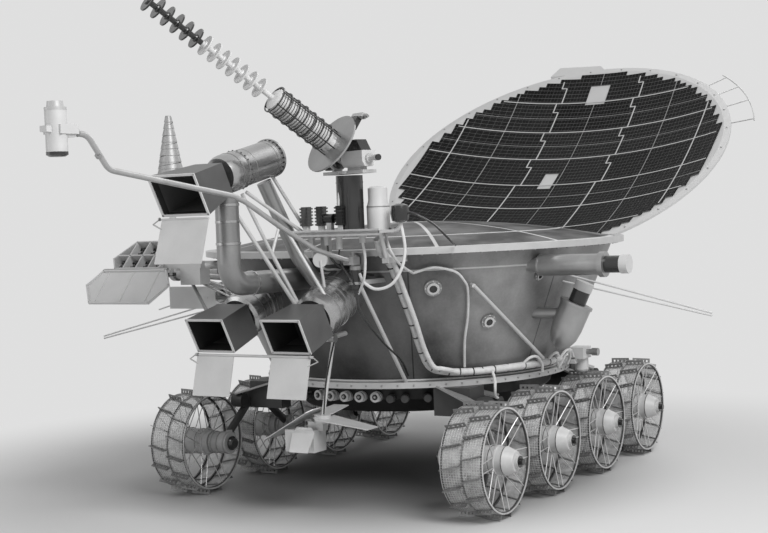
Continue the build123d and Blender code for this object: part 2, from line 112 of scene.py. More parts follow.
def lay_floor():
    """The floor is painted darker under the vehicle as a painted shadow, and fades into evenly lit paper where
    that shadow ends.
    """
    half = PAPER_SIZE / 2
    mesh = bpy.data.meshes.new("paper_floor")
    mesh.from_pydata([(-half, -half, 0), (half, -half, 0), (half, half, 0), (-half, half, 0)], [],
                     [(0, 1, 2, 3)])
    floor = bpy.data.objects.new("paper_floor", mesh)
    scene.collection.objects.link(floor)
    paper = bpy.data.materials.new("paper")
    paper.use_nodes = True
    nodes, links = paper.node_tree.nodes, paper.node_tree.links
    shader = nodes["Principled BSDF"]
    shader.inputs["Roughness"].default_value = 0.9
    shader.inputs["Specular IOR Level"].default_value = 0.1
    place = nodes.new("ShaderNodeTexCoord")
    apart = nodes.new("ShaderNodeVectorMath")
    apart.operation = "LENGTH"
    links.new(place.outputs["Object"], apart.inputs[0])
    # Painted shadow: the floor's colour darkens towards the middle, under the vehicle.
    tone, fade = nodes.new("ShaderNodeMapRange"), nodes.new("ShaderNodeMapRange")
    for ramp, limits in ((tone, (*PAINTED_SHADOW_REACH, FLOOR_PAINTED_SHADOW, FLOOR_TONE)), (fade, (*SHADOW_REACH, 0, 1))):
        ramp.interpolation_type = "SMOOTHSTEP"
        for socket, value in zip(("From Min", "From Max", "To Min", "To Max"), limits):
            ramp.inputs[socket].default_value = value
        links.new(apart.outputs["Value"], ramp.inputs["Value"])
    glow = nodes.new("ShaderNodeEmission")
    glow.inputs["Color"].default_value = PAPER
    mix = nodes.new("ShaderNodeMixShader")
    links.new(tone.outputs["Result"], shader.inputs["Base Color"])
    links.new(fade.outputs["Result"], mix.inputs["Fac"])
    links.new(shader.outputs[0], mix.inputs[1])
    links.new(glow.outputs[0], mix.inputs[2])
    links.new(mix.outputs[0], nodes["Material Output"].inputs["Surface"])
    mesh.materials.append(paper)


def hang_backdrop():
    """A world that is the same paper to the camera and in reflections, and a weak glow otherwise."""
    world = bpy.data.worlds.new("studio")
    world.use_nodes = True
    scene.world = world
    nodes, links = world.node_tree.nodes, world.node_tree.links
    room = nodes["Background"]
    room.inputs["Color"].default_value = (1, 1, 1, 1)
    room.inputs["Strength"].default_value = ROOM_GLOW
    backdrop = nodes.new("ShaderNodeBackground")
    backdrop.inputs["Color"].default_value = PAPER
    rays = nodes.new("ShaderNodeLightPath")
    seen = rays.outputs["Is Camera Ray"]
    for kind in ("Is Glossy Ray", "Is Transmission Ray"):
        either = nodes.new("ShaderNodeMath")
        either.operation = "MAXIMUM"
        links.new(seen, either.inputs[0])
        links.new(rays.outputs[kind], either.inputs[1])
        seen = either.outputs[0]
    mix = nodes.new("ShaderNodeMixShader")
    links.new(seen, mix.inputs["Fac"])
    links.new(room.outputs[0], mix.inputs[1])
    links.new(backdrop.outputs[0], mix.inputs[2])
    links.new(mix.outputs[0], nodes["World Output"].inputs["Surface"])


set_up_camera()
lay_floor()
hang_backdrop()
for light_name, light_place, light_watts in LIGHTS:
    add_light(light_name, light_place, light_watts)


# The tub: a spun alloy wall gone dull, with cloudy blotches, faint runs of dirt down its height and
# eight vertical panel seams. The blotches are in the metal, so they shift its colour and its shine.
class Wire:
    """A shader value that takes Python arithmetic; each operation adds one Math node."""

    def __init__(self, paint, socket):
        self.paint, self.socket = paint, socket

    def math(self, operation, *others):
        return self.paint.node("ShaderNodeMath", {"operation": operation}, [self, *others])

    def __add__(self, other):
        return self.math("ADD", other)

    __radd__ = __add__

    def __sub__(self, other):
        return self.math("SUBTRACT", other)

    def __rsub__(self, other):
        return self * -1 + other

    def __mul__(self, other):
        return self.math("MULTIPLY", other)

    __rmul__ = __mul__

    def __truediv__(self, other):
        return self.math("DIVIDE", other)

    def __lt__(self, other):
        return self.math("LESS_THAN", other)

    def __gt__(self, other):
        return self.math("GREATER_THAN", other)

    def __or__(self, other):
        return self.math("MAXIMUM", other)

    def __and__(self, other):
        return self.math("MULTIPLY", other)

    def near(self, middle, half):
        return self.math("COMPARE", middle, half)

    def wrap(self, period):
        return self.math("FLOORED_MODULO", period)

    def clear(self, low, high):
        """0 at low, 1 at high, and clamped outside them."""
        return self.paint.node("ShaderNodeMapRange", {"clamp": True}, {0: self, 1: low, 2: high})


class Paint:
    """One material on a Principled shader, with its constant values set on the shader itself."""

    def __init__(self, name, tone, roughness, metallic=0.0, coat=0.0):
        self.material = bpy.data.materials.new(name)
        self.material.use_nodes = True
        self.tree = self.material.node_tree
        self.shader = self.tree.nodes["Principled BSDF"]
        for socket, value in (("Base Color", (tone, tone, tone, 1)), ("Roughness", roughness),
                              ("Metallic", metallic), ("Coat Weight", coat)):
            self.shader.inputs[socket].default_value = value

    def node(self, kind, settings=None, inputs=(), output=0):
        made = self.tree.nodes.new(kind)
        for key, value in (settings or {}).items():
            setattr(made, key, value)
        for key, value in inputs.items() if isinstance(inputs, dict) else enumerate(inputs):
            if isinstance(value, Wire):
                self.tree.links.new(value.socket, made.inputs[key])
            else:
                made.inputs[key].default_value = value
        return Wire(self, made.outputs[output])

    def place(self, origin=(0, 0, 0)):
        """The point being shaded, in metres in the vehicle's frame, from a given origin."""
        here = self.node("ShaderNodeTexCoord", output="Object")
        return self.node("ShaderNodeVectorMath", {"operation": "SUBTRACT"}, [here, origin])

    def along(self, place, direction):
        return self.node("ShaderNodeVectorMath", {"operation": "DOT_PRODUCT"}, [place, direction], "Value")

    def noise(self, scale, detail=3.0, stretch=(1, 1, 1)):
        here = self.node("ShaderNodeVectorMath", {"operation": "MULTIPLY"}, [self.place(), stretch])
        return self.node("ShaderNodeTexNoise", inputs={"Vector": here, "Scale": scale, "Detail": detail})

    def by_square(self, across, along):
        """A random value for each square of a grid, from two counts that are floored."""
        corner = self.node("ShaderNodeCombineXYZ", inputs=[across.math("FLOOR"), along.math("FLOOR"), 0.0])
        return self.node("ShaderNodeTexWhiteNoise", {"noise_dimensions": "2D"}, {"Vector": corner})

    def show(self, socket, wire):
        self.tree.links.new(wire.socket, self.shader.inputs[socket])

    def rough_by(self, height, strength, distance=0.002):
        """A fine surface relief from a height value."""
        relief = {"Height": height, "Strength": strength, "Distance": distance}
        self.show("Normal", self.node("ShaderNodeBump", inputs=relief))


def give(paint, *nodes):
    """A better material for CAD nodes whose shape stays."""
    for name in nodes:
        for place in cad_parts[name].material_slots:
            place.material = paint.material


TUB_MIDDLE = at(20, 0, 0)
WALL_BAND_Z = 1.084
WALL_TONE = 0.23
WALL_ROUGHNESS = 0.46
wall = Paint("tub_wall", 0.15, WALL_ROUGHNESS, metallic=0.45)
middle = wall.place(TUB_MIDDLE)
height = wall.along(middle, (0, 0, 1))
turn = wall.along(middle, (0, 1, 0)).math("ARCTAN2", wall.along(middle, (1, 0, 0)))
cloud = wall.noise(3.2, 6.0)
runs = wall.noise(9.0, 4.0, (1, 1, 0.12))
speck = wall.noise(90.0, 2.0)
seam = (turn + 0.3).wrap(math.pi / 4).near(0.006, 0.004) & (height < WALL_BAND_Z - 0.004)
band = height.near(WALL_BAND_Z, 0.0045)
# The wall is made darker towards the bottom, below about 0.74 m down to the ledge.
low_darkening = height.clear(0.74, 0.57)
# Painted shade: the wall's tone is cut to 0.38 where it faces straight ahead, rising to full towards its sides
# and back.
front_shade = turn.math("ABSOLUTE").clear(0.2, 0.8) * 0.62 + 0.38
tone = WALL_TONE + (cloud - 0.5) * 0.56 + (runs - 0.5) * 0.14 + (speck - 0.5) * 0.06
tone = (tone * front_shade * (1 - seam * 0.6) + band * 0.14 - low_darkening * 0.04).math("MAXIMUM", 0.02)
wall.show("Base Color", tone)
wall.show("Roughness", WALL_ROUGHNESS + (cloud - 0.5) * 0.3 + (runs - 0.5) * 0.15)
wall.rough_by(cloud + speck * 0.15, 0.25, 0.004)
give(wall, "tub")


# The rim and ledge: plain pale alloy edges, with one row of small hexagonal bolts under the rim and
# another round the ledge. Each row is made from one bolt, set on points and made real in one mesh.
def worn(name, tone, roughness, metallic=0.0, mottle=0.25, scale=6.0, stretch=(1, 1, 1), coat=0.0):
    """A used surface: its tone and shine drift in clouds, with a fine grain over them."""
    paint = Paint(name, tone, roughness, metallic, coat)
    cloud = paint.noise(scale, 5.0, stretch)
    grain = paint.noise(scale * 22, 2.0, stretch)
    drift = (cloud - 0.5) * mottle * 2 + (grain - 0.5) * mottle * 0.5
    paint.show("Base Color", (drift + 1) * tone)
    paint.show("Roughness", (drift * 0.35 + 1) * roughness)
    paint.rough_by(grain, 0.12)
    return paint


BARE = worn("bare_metal", 0.34, 0.36, 0.75, 0.25, 9.0)
RIM = worn("rim_metal", 0.5, 0.42, 0.3, 0.16, 12.0)
give(RIM, "rim_flange", "ledge_ring")
SHARP_EDGE = math.radians(35)


def finished(name, mesh, body, slot, *stands_for):
    """The finished piece, riding on a body, in place of the CAD nodes that it stands for."""
    made = bpy.data.objects.new(name, mesh)
    scene.collection.objects.link(made)
    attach(made, body)
    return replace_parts(made, *stands_for) if stands_for else made


def round_points(middle, across, upright, radius, sides):
    """The corners of a regular polygon about a point, in the plane of two directions."""
    return [middle + (across * math.cos(2 * math.pi * k / sides)
                      + upright * math.sin(2 * math.pi * k / sides)) * radius for k in range(sides)]


def joined_rings(count, sides, closed):
    """The faces between rings of points, with a cap at each end or, if closed, the last to the first."""
    faces = []
    for i in range(count if closed else count - 1):
        here, there = i * sides, (i + 1) % count * sides
        faces += [(here + k, here + (k + 1) % sides, there + (k + 1) % sides, there + k)
                  for k in range(sides)]
    last = (count - 1) * sides
    return faces if closed else faces + [tuple(range(sides))[::-1], tuple(range(last, last + sides))]


class Shape:
    """The vertices and faces of one piece, added to by tubes, turned forms and boxes in metres."""

    def __init__(self):
        self.vertices, self.faces, self.paints, self.marks, self.flat = [], [], [], [], []

    def add(self, vertices, faces, paint, flat=False):
        first = len(self.vertices)
        if paint not in self.paints:
            self.paints.append(paint)
        self.vertices += [tuple(v) for v in vertices]
        self.faces += [tuple(first + i for i in face) for face in faces]
        self.marks += [self.paints.index(paint)] * len(faces)
        self.flat += [flat] * len(faces)

    def turned(self, start, toward, steps, paint, sides=20, bored=False):
        """A solid turned about the line from start toward a point, from its (distance, radius) steps.
        A bored one is a ring, whose steps go once round its section."""
        start, ahead = Vector(start), (Vector(toward) - Vector(start)).normalized()
        across = ahead.orthogonal().normalized()
        upright = ahead.cross(across)
        vertices = []
        for distance, radius in steps:
            vertices += round_points(start + ahead * distance, across, upright, radius, sides)
        self.add(vertices, joined_rings(len(steps), sides, bored), paint)

    def tube(self, points, radius, paint, sides=8, smooth=6):
        """A round tube through points, curved by a Catmull-Rom spline and closed at its ends."""
        line = [Vector(p) for p in points]
        if smooth > 1 and len(line) > 2:
            padded = [line[0] * 2 - line[1]] + line + [line[-1] * 2 - line[-2]]
            line = [0.5 * (2 * b + (c - a) * t + (2 * a - 5 * b + 4 * c - d) * t**2
                           + (3 * b - a - 3 * c + d) * t**3)
                    for a, b, c, d in zip(padded, padded[1:], padded[2:], padded[3:])
                    for t in [k / smooth for k in range(smooth)]] + [line[-1]]
        across = (line[1] - line[0]).orthogonal().normalized()
        vertices = []
        for i, point in enumerate(line):
            ahead = (line[min(i + 1, len(line) - 1)] - line[max(i - 1, 0)]).normalized()
            across = (across - ahead * across.dot(ahead)).normalized()
            vertices += round_points(point, across, ahead.cross(across), radius, sides)
        self.add(vertices, joined_rings(len(line), sides, False), paint)

    def rod(self, start, end, radius, paint, sides=12):
        self.tube((start, end), radius, paint, sides, 1)

    def box(self, middle, size, paint, x_dir=(1, 0, 0), z_dir=(0, 0, 1)):
        """A square block about its middle, turned to an x and a z direction."""
        z = Vector(z_dir).normalized()
        x = (Vector(x_dir) - z * z.dot(Vector(x_dir))).normalized()
        y = z.cross(x)
        half = Vector(size) / 2
        corners = [Vector(middle) + x * half.x * i + y * half.y * j + z * half.z * k
                   for k in (-1, 1) for j in (-1, 1) for i in (-1, 1)]
        self.add(corners, [(0, 2, 3, 1), (4, 5, 7, 6), (0, 1, 5, 4), (2, 6, 7, 3), (0, 4, 6, 2), (1, 3, 7, 5)],
                 paint, flat=True)

    def bar(self, start, end, width, thickness, paint, z_dir, longer=0.0):
        """A flat bar from one point to another, which faces a z direction."""
        size = ((end - start).length + longer, width, thickness)
        self.box((start + end) / 2, size, paint, end - start, z_dir)

    def plate(self, outline, origin, x_dir, z_dir, thickness, paint):
        """A flat plate from its outline, laid in a plane with an x and a z direction. It is thickened
        towards z, or away from it for a thickness below zero."""
        z = Vector(z_dir).normalized()
        x = (Vector(x_dir) - z * z.dot(Vector(x_dir))).normalized()
        y = z.cross(x)
        low = [Vector(origin) + x * u + y * v + z * min(thickness, 0) for u, v in outline]
        count = len(low)
        faces = [tuple(range(count))[::-1], tuple(range(count, 2 * count))]
        faces += [(i, (i + 1) % count, (i + 1) % count + count, i + count) for i in range(count)]
        clockwise = sum(u * w - s * v for (u, v), (s, w) in zip(outline, outline[1:] + outline[:1])) < 0
        if clockwise:
            faces = [face[::-1] for face in faces]
        self.add(low + [p + z * abs(thickness) for p in low], faces, paint, flat=True)

    def mesh(self, name):
        mesh = bpy.data.meshes.new(name)
        mesh.from_pydata(self.vertices, [], self.faces)
        for paint in self.paints:
            mesh.materials.append(paint.material)
        for face, mark, flat in zip(mesh.polygons, self.marks, self.flat):
            face.material_index = mark
            face.use_smooth = not flat
        mesh.set_sharp_from_angle(angle=SHARP_EDGE)
        return mesh

    def piece(self, name, body, slot, *stands_for):
        return finished(name, self.mesh(name), body, slot, *stands_for)


def mm(*steps):
    """Steps of a turned form in metres, from millimetres."""
    return [(distance / 1000, radius / 1000) for distance, radius in steps]


def geometry_tree(name, sockets, parts, links):
    """A Geometry Nodes tree, from its named sockets, its nodes with their settings and values, and its
    links. A node's settings come before its links, because they can change its sockets."""
    tree = bpy.data.node_groups.new(name, "GeometryNodeTree")
    for label, kind in sockets.items():
        way = "OUTPUT" if label == "Mesh" else "INPUT"
        tree.interface.new_socket(label, in_out=way, socket_type="NodeSocket" + kind)
    nodes = {"in": tree.nodes.new("NodeGroupInput"), "out": tree.nodes.new("NodeGroupOutput")}
    for key, (kind, settings, values) in parts.items():
        nodes[key] = tree.nodes.new(kind)
        for setting, value in settings.items():
            setattr(nodes[key], setting, value)
        for socket, value in values.items():
            nodes[key].inputs[socket].default_value = value
    for source, out, target, into in links:
        tree.links.new(nodes[source].outputs[out], nodes[target].inputs[into])
    return tree


def grown(name, start, tree, values):
    """The plain mesh that a tree makes on a start object, which is removed with its modifier."""
    growth = start.modifiers.new("growth", "NODES")
    growth.node_group = tree
    sockets = {item.name: item.identifier for item in tree.interface.items_tree}
    for label, value in values.items():
        growth[sockets[label]] = value
    bpy.context.view_layer.update()
    mesh = bpy.data.meshes.new_from_object(start.evaluated_get(bpy.context.evaluated_depsgraph_get()))
    mesh.name = name
    bpy.data.objects.remove(start)
    return mesh


repeat_tree = geometry_tree(
    "repeat_tree",
    {"Points": "Geometry", "Unit": "Object", "Finish": "Material", "Size": "Float", "Ahead": "Vector",
     "Mesh": "Geometry"},
    {"unit": ("GeometryNodeObjectInfo", {}, {}),
     "read": ("GeometryNodeInputNamedAttribute", {"data_type": "FLOAT_VECTOR"}, {"Name": "outward"}),
     "turn": ("FunctionNodeAlignRotationToVector", {"axis": "Z"}, {}),
     "spin": ("FunctionNodeAlignRotationToVector", {"axis": "X", "pivot_axis": "Z"}, {}),
     "set": ("GeometryNodeInstanceOnPoints", {}, {}),
     "real": ("GeometryNodeRealizeInstances", {}, {}),
     "paint": ("GeometryNodeSetMaterial", {}, {})},
    (("in", "Points", "set", "Points"), ("in", "Unit", "unit", "Object"),
     ("unit", "Geometry", "set", "Instance"), ("in", "Size", "set", "Scale"),
     ("read", "Attribute", "turn", "Vector"), ("turn", "Rotation", "spin", "Rotation"),
     ("in", "Ahead", "spin", "Vector"), ("spin", "Rotation", "set", "Rotation"),
     ("set", "Instances", "real", "Geometry"), ("real", "Geometry", "paint", "Geometry"),
     ("in", "Finish", "paint", "Material"), ("paint", "Geometry", "out", "Mesh")))


def repeated(name, points, outs, unit, paint, body, slot, size=1.0, ahead=(1, 0, 0), stands_for=()):
    """Instances of a unit shape on points, made real. Each one's z looks along its own out direction,
    and its x along the one ahead direction as nearly as that allows."""
    mesh = bpy.data.meshes.new(name)
    mesh.from_pydata([tuple(p) for p in points], [], [])
    outward = mesh.attributes.new("outward", "FLOAT_VECTOR", "POINT")
    outward.data.foreach_set("vector", [c for o in outs for c in o])
    unit_mesh = bpy.data.meshes.new(name + "_unit")
    unit_mesh.from_pydata(unit.vertices, [], unit.faces)
    carrier, spare = bpy.data.objects.new(name, mesh), bpy.data.objects.new(name + "_unit", unit_mesh)
    scene.collection.objects.link(carrier)
    scene.collection.objects.link(spare)
    plain = grown(name, carrier, repeat_tree,
                  {"Unit": spare, "Finish": paint.material, "Size": size, "Ahead": ahead})
    plain.set_sharp_from_angle(angle=SHARP_EDGE)
    bpy.data.objects.remove(spare)
    return finished(name, plain, body, slot, *stands_for)


def level_out(degrees):
    """The level direction out from the tub's middle, at an angle from straight ahead."""
    return Vector((math.cos(math.radians(degrees)), math.sin(math.radians(degrees)), 0))


def level_ring(radius, z, degrees):
    """Points at one radius and height about the tub's middle, at given angles."""
    return [TUB_MIDDLE + level_out(d) * radius + Vector((0, 0, z)) for d in degrees]


RIM_BOLTS, RIM_BOLT_R, RIM_UNDERSIDE = 96, 1.03, 1.157
HINGE_FLAT_X, FLANGE_R = -0.89, 1.04
LEDGE_BOLTS, LEDGE_EDGE_R, LEDGE_BOLT_Z = 64, 0.7655, 0.546
bolt = Shape()
bolt.turned((0, 0, -0.001), (0, 0, 1), mm((0, 6.2), (5.8, 6.2), (7, 5)), BARE, 6)
rim_outs = [level_out(360 * (k + 0.5) / RIM_BOLTS) for k in range(RIM_BOLTS)]
rim_points = [TUB_MIDDLE + out * RIM_BOLT_R + Vector((0, 0, RIM_UNDERSIDE)) for out in rim_outs
              if LEDGE_MIDDLE_X + out.x * FLANGE_R > HINGE_FLAT_X]
repeated("rim_bolts", rim_points, [(0, 0, -1)] * len(rim_points), bolt, BARE, "chassis", "rim_metal")
edge = Shape()
edge.tube(level_ring(0.9665, WALL_BAND_Z, range(-160, 161, 4)), 0.0045, RIM, 6, 1)
edge.tube(level_ring(0.7395, 0.5665, range(0, 361, 5)), 0.007, RIM, 6, 1)
edge.piece("wall_bands", "chassis", "rim_metal")
ledge_points = level_ring(LEDGE_EDGE_R, LEDGE_BOLT_Z, [360 * k / LEDGE_BOLTS for k in range(LEDGE_BOLTS)])
ledge_outs = [point - TUB_MIDDLE - Vector((0, 0, LEDGE_BOLT_Z)) for point in ledge_points]
repeated("ledge_bolts_small", ledge_points, ledge_outs, bolt, BARE, "chassis", "rim_metal", 0.8)


# The radiator deck: dark mirror tiles in rows between white strips, which the CAD raises. The tiles
# are laid square across the dome, so their joints show as a fine pale grid.
DECK_STRIPS, DECK_TILE, DECK_EDGE_R = 10, 0.05, 0.985
deck = Paint("radiator_tiles", 0.04, 0.35)
deck.shader.inputs["Specular IOR Level"].default_value = 0.1
middle = deck.place(TUB_MIDDLE)
across, ahead = deck.along(middle, (0, 1, 0)), deck.along(middle, (1, 0, 0))
reach = (across * across + ahead * ahead).math("SQRT")
turn = across.math("ARCTAN2", ahead)
half_gap = math.pi / DECK_STRIPS
spoke = reach * (turn + half_gap).wrap(2 * half_gap).math("SUBTRACT", half_gap).math("SINE")
strips = spoke.near(0, 0.0085) & (reach < DECK_EDGE_R)
strips = strips | reach.near(0.740, 0.0085) | (reach < 0.0905) | (reach > DECK_EDGE_R)
half_tile = DECK_TILE / 2
joints = across.wrap(DECK_TILE).near(half_tile, 0.0018) | ahead.wrap(DECK_TILE).near(half_tile, 0.0018)
tile = (deck.noise(5.0, 4.0) - 0.42).math("MAXIMUM", 0.0) * 0.5 + 0.008
deck.show("Base Color", tile + joints * 0.05 + strips * 0.55)
deck.show("Roughness", 0.34 + strips * 0.15 + joints * 0.1)
give(deck, "radiator_deck")


# The belly: black heat paint over a rounded shell, with five white round lamps in front and dull
# connector plugs beside them, all screwed into its side.
BLACK = worn("black_paint", 0.018, 0.26, 0.0, 0.3, 20.0, coat=0.4)
WHITE = worn("white_paint", 0.56, 0.42, 0.0, 0.10, 10.0)
DULL = worn("suspension_grey", 0.05, 0.5, 0.4, 0.3, 14.0)
give(worn("belly_black", 0.014, 0.42, 0.1, 0.4, 9.0), "belly")
BELLY_R, LAMP_Z, PLUG_Z = 0.655, 0.486, 0.478
LAMP_TURNS = (-13.0, -6.5, 0.0, 6.5, 13.0)
PLUG_TURNS = (-24.5, -19, 19, 24.5, 33, 38.5, 44, 49.5, -33, -39, -45)
lamps = Shape()
for degrees in LAMP_TURNS:
    out = level_out(degrees)
    foot = TUB_MIDDLE + Vector((0, 0, LAMP_Z)) + out * BELLY_R
    lamps.turned(foot, foot + out, mm((0, 26), (36, 26), (36, 20), (54, 20), (54, 24), (60, 24)), WHITE, 24)
    lamps.turned(foot + out * 0.0598, foot + out, mm((0, 13.5), (1.2, 13.5)), BLACK, 16)
    lamps.turned(foot + out * 0.060, foot + out, mm((0, 6), (8, 6), (10, 3)), BARE, 8)
for degrees in PLUG_TURNS:
    out = level_out(degrees)
    foot = TUB_MIDDLE + Vector((0, 0, PLUG_Z)) + out * BELLY_R
    lamps.turned(foot, foot + out, mm((0, 20), (45, 20), (45, 14), (62, 14), (62, 18), (72, 18)), DULL, 14)
lamps.piece("belly_lamps", "chassis", "belly_black")


# Suspension: dark units bolted under the ledge, with pale plates that slope down over each pair of
# wheels, dark caps on the arm pivots and pale axle housings. The arms are forged, the plates folded.
WHEEL_STEP = 1.7 / 3
AXLE_Z = 0.255
knuckle = Paint("suspension_dark", 0.05, 0.5, metallic=0.3)
spot = knuckle.place(Vector((CHASSIS_X, 0, AXLE_Z)))
at_axle = (knuckle.along(spot, (1, 0, 0)).wrap(WHEEL_STEP).near(WHEEL_STEP / 2, 0.055)
           & knuckle.along(spot, (0, 0, 1)).near(0, 0.055))
knuckle.show("Base Color", at_axle * 0.38 + 0.04 + knuckle.noise(14.0, 4.0) * 0.03)
give(knuckle, *[f"suspension_{e}_{s}" for e in ("front", "rear") for s in ("left", "right")])
SLOPE = worn("slope_plate", 0.34, 0.4, 0.4, 0.2, 18.0)
plates = Shape()
for front, side, step in [(f, s, k) for f in (-1, 1) for s in (-1, 1) for k in (-1, 1)]:
    unit_x = CHASSIS_X + front * WHEEL_STEP
    wheel_x = unit_x + step * WHEEL_STEP / 2
    outward = Vector((0, side, 0))
    foot = Vector((unit_x + step * 0.125, side * 0.665, 0.476))
    top = Vector((unit_x + step * 0.05, side * 0.46, 0.53))
    plates.bar(foot, top, 0.062, 0.009, SLOPE, (0, side * 0.3, 1))
    pivot = Vector((unit_x + step * 0.118, side * 0.62, 0.44))
    plates.turned(pivot, pivot + outward, mm((0, 34), (62, 34), (70, 20)), DULL, 24)
    cap = Vector((wheel_x, side * 0.585, AXLE_Z))
    plates.turned(cap, cap - outward, mm((0, 34), (6, 34), (10, 30), (20, 24)), BLACK, 24)
    for y in (0.6, 0.64, 0.676):
        collar = Vector((wheel_x, side * y, AXLE_Z))
        plates.turned(collar, collar + outward, mm((0, 50), (0, 54.5), (6, 54.5), (6, 50)), SLOPE, 32, True)
plates.piece("suspension_plates", "chassis", "suspension_metal")


# Wheels: a pale gauze of thin wires is laced over three dark hoops with pale end rings, under slanted
# lugs with holes, and crossed spokes hold the hoops. One wire and one fine ring are repeated for the
# gauze, over a see-through skin that stands for the finest wires.
WHEEL_HALF = 0.1
HOOP_R, HOOP_DEPTH, HOOP_WIDTH = 0.2295, 0.0105, 0.008
GAUZE_R, GAUZE_WIRE = 0.2305, 0.0007
GAUZE_WIRES, GAUZE_RINGS = 120, 15
LUGS, LUG_LENGTH, LUG_SLANT, LUG_MIDDLE_R = 16, 0.092, 0.25, 0.2385
LUG_POSTS = (-0.0405, -0.0203, 0, 0.0203, 0.0405)
SPOKES, SPOKE_LEAN, SPOKE_INNER_R, SPOKE_OUTER_R = 8, 0.3, 0.063, 0.2255
SIDES = (("left", 1), ("right", -1))
HOOP = worn("hoop_metal", 0.09, 0.4, 0.5, 0.2, 30.0)
SPOKE = worn("spoke_metal", 0.6, 0.36, 0.4, 0.2, 30.0)
LUG = worn("wheel_metal", 0.24, 0.45, 0.6, 0.35, 30.0)
GAUZE = worn("wheel_gauze", 0.66, 0.4, 0.5, 0.2, 60.0)
WEAVE = Paint("gauze_weave", 0.62, 0.5, metallic=0.3)
weave_cloud = WEAVE.noise(26.0, 4.0)
WEAVE.show("Base Color", 0.72 + (weave_cloud - 0.5) * 0.3)
WEAVE.show("Alpha", 0.40 + (weave_cloud - 0.5) * 0.5)
gauze_tree = geometry_tree(
    "gauze_tree",
    {"Start": "Geometry", "Wires": "Int", "Rings": "Int", "Finish": "Material", "Mesh": "Geometry"},
    {"wire": ("GeometryNodeMeshCylinder", {}, {"Vertices": 3, "Radius": GAUZE_WIRE, "Depth": 2 * WHEEL_HALF}),
     "points": ("GeometryNodeMeshCircle", {}, {"Radius": GAUZE_R}),
     "set": ("GeometryNodeInstanceOnPoints", {}, {}),
     "row": ("GeometryNodeMeshLine", {"mode": "END_POINTS"},
             {"Start Location": (0, 0, 0.012 - WHEEL_HALF), "Offset": (0, 0, WHEEL_HALF - 0.012)}),
     "ring": ("GeometryNodeCurvePrimitiveCircle", {}, {"Resolution": 64, "Radius": GAUZE_R}),
     "thin": ("GeometryNodeCurvePrimitiveCircle", {}, {"Resolution": 3, "Radius": GAUZE_WIRE}),
     "round": ("GeometryNodeCurveToMesh", {}, {}),
     "rings": ("GeometryNodeInstanceOnPoints", {}, {}),
     "join": ("GeometryNodeJoinGeometry", {}, {}),
     "real": ("GeometryNodeRealizeInstances", {}, {}),
     "paint": ("GeometryNodeSetMaterial", {}, {})},
    (("in", "Wires", "points", "Vertices"), ("points", "Mesh", "set", "Points"),
     ("wire", "Mesh", "set", "Instance"), ("in", "Rings", "row", "Count"), ("row", "Mesh", "rings", "Points"),
     ("ring", "Curve", "round", "Curve"), ("thin", "Curve", "round", "Profile Curve"),
     ("round", "Mesh", "rings", "Instance"), ("set", "Instances", "join", "Geometry"),
     ("rings", "Instances", "join", "Geometry"), ("join", "Geometry", "real", "Geometry"),
     ("real", "Geometry", "paint", "Geometry"), ("in", "Finish", "paint", "Material"),
     ("paint", "Geometry", "out", "Mesh")))
start = bpy.data.objects.new("gauze_start", bpy.data.meshes.new("gauze_start"))
scene.collection.objects.link(start)
gauze_mesh = grown("gauze", start, gauze_tree,
                   {"Wires": GAUZE_WIRES, "Rings": GAUZE_RINGS, "Finish": GAUZE.material})


def ring_round(wheel, y, radius, depth, width, paint):
    """A flat ring about the wheel's axle, from its outer radius, its depth and its width along y."""
    wheel.turned((0, 0, 0), (0, 1, 0), ((y, radius - depth), (y, radius), (y + width, radius),
                                        (y + width, radius - depth)), paint, 64, True)


def wheel_cage(side):
    """The hoops, weave, lugs and spokes of one wheel about its middle."""
    wheel = Shape()
    for y in (-WHEEL_HALF, -HOOP_WIDTH / 2, WHEEL_HALF - HOOP_WIDTH):
        ring_round(wheel, y, HOOP_R, HOOP_DEPTH, HOOP_WIDTH, HOOP)
    for y in (-0.1022, 0.0992):
        ring_round(wheel, y, 0.2305, 0.007, 0.003, SPOKE)
    ring_round(wheel, -0.098, 0.2292, 0.0004, 0.196, WEAVE)
    for row, k in [(row, k) for row in (0, 1) for k in range(LUGS)]:
        a = 2 * math.pi * (k + 0.5 * row) / LUGS
        out, around = Vector((math.cos(a), 0, math.sin(a))), Vector((-math.sin(a), 0, math.cos(a)))
        along = (Vector((0, 1, 0)) + around * LUG_SLANT * side).normalized()
        lug = Vector((0, -0.05 + 0.1 * row, 0)) + out * LUG_MIDDLE_R
        wheel.box(lug - out * 0.0095, (LUG_LENGTH, 0.004, 0.013), LUG, along, out)
        wheel.box(lug + out * 0.012, (LUG_LENGTH, 0.004, 0.009), LUG, along, out)
        for post in LUG_POSTS:
            wheel.box(lug + along * post + out * 0.002, (0.011, 0.0036, 0.014), LUG, along, out)
    for rim_y, hub_y, shift in ((-0.096, -0.066, 0.0), (0.096, 0.066, 0.39)):
        for lean, k in [(lean, k) for lean in (-1, 1) for k in range(SPOKES)]:
            a = 2 * math.pi * k / SPOKES + shift
            b = a + lean * SPOKE_LEAN
            foot = (SPOKE_INNER_R * math.cos(a), hub_y * side, SPOKE_INNER_R * math.sin(a))
            tip = (SPOKE_OUTER_R * math.cos(b), rim_y * side, SPOKE_OUTER_R * math.sin(b))
            wheel.rod(foot, tip, 0.0024, SPOKE, 5)
    return wheel


for side_name, side in SIDES:
    cage = wheel_cage(side)
    for row in (1, 2, 3, 4):
        node = f"wheel_{row}_{side_name}"
        low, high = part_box(node)
        to_axle = Matrix.Translation((low + high) / 2)
        cage_mesh = cage.mesh(f"cage_{row}_{side_name}")
        cage_mesh.transform(to_axle)
        finished(f"cage_{row}_{side_name}", cage_mesh, node, "wheel_metal", node)
        skin = gauze_mesh.copy()
        skin.transform(to_axle @ Matrix.Rotation(math.pi / 2, 4, "X"))
        finished(f"gauze_{row}_{side_name}", skin, node, "wheel_metal")
bpy.data.meshes.remove(gauze_mesh)


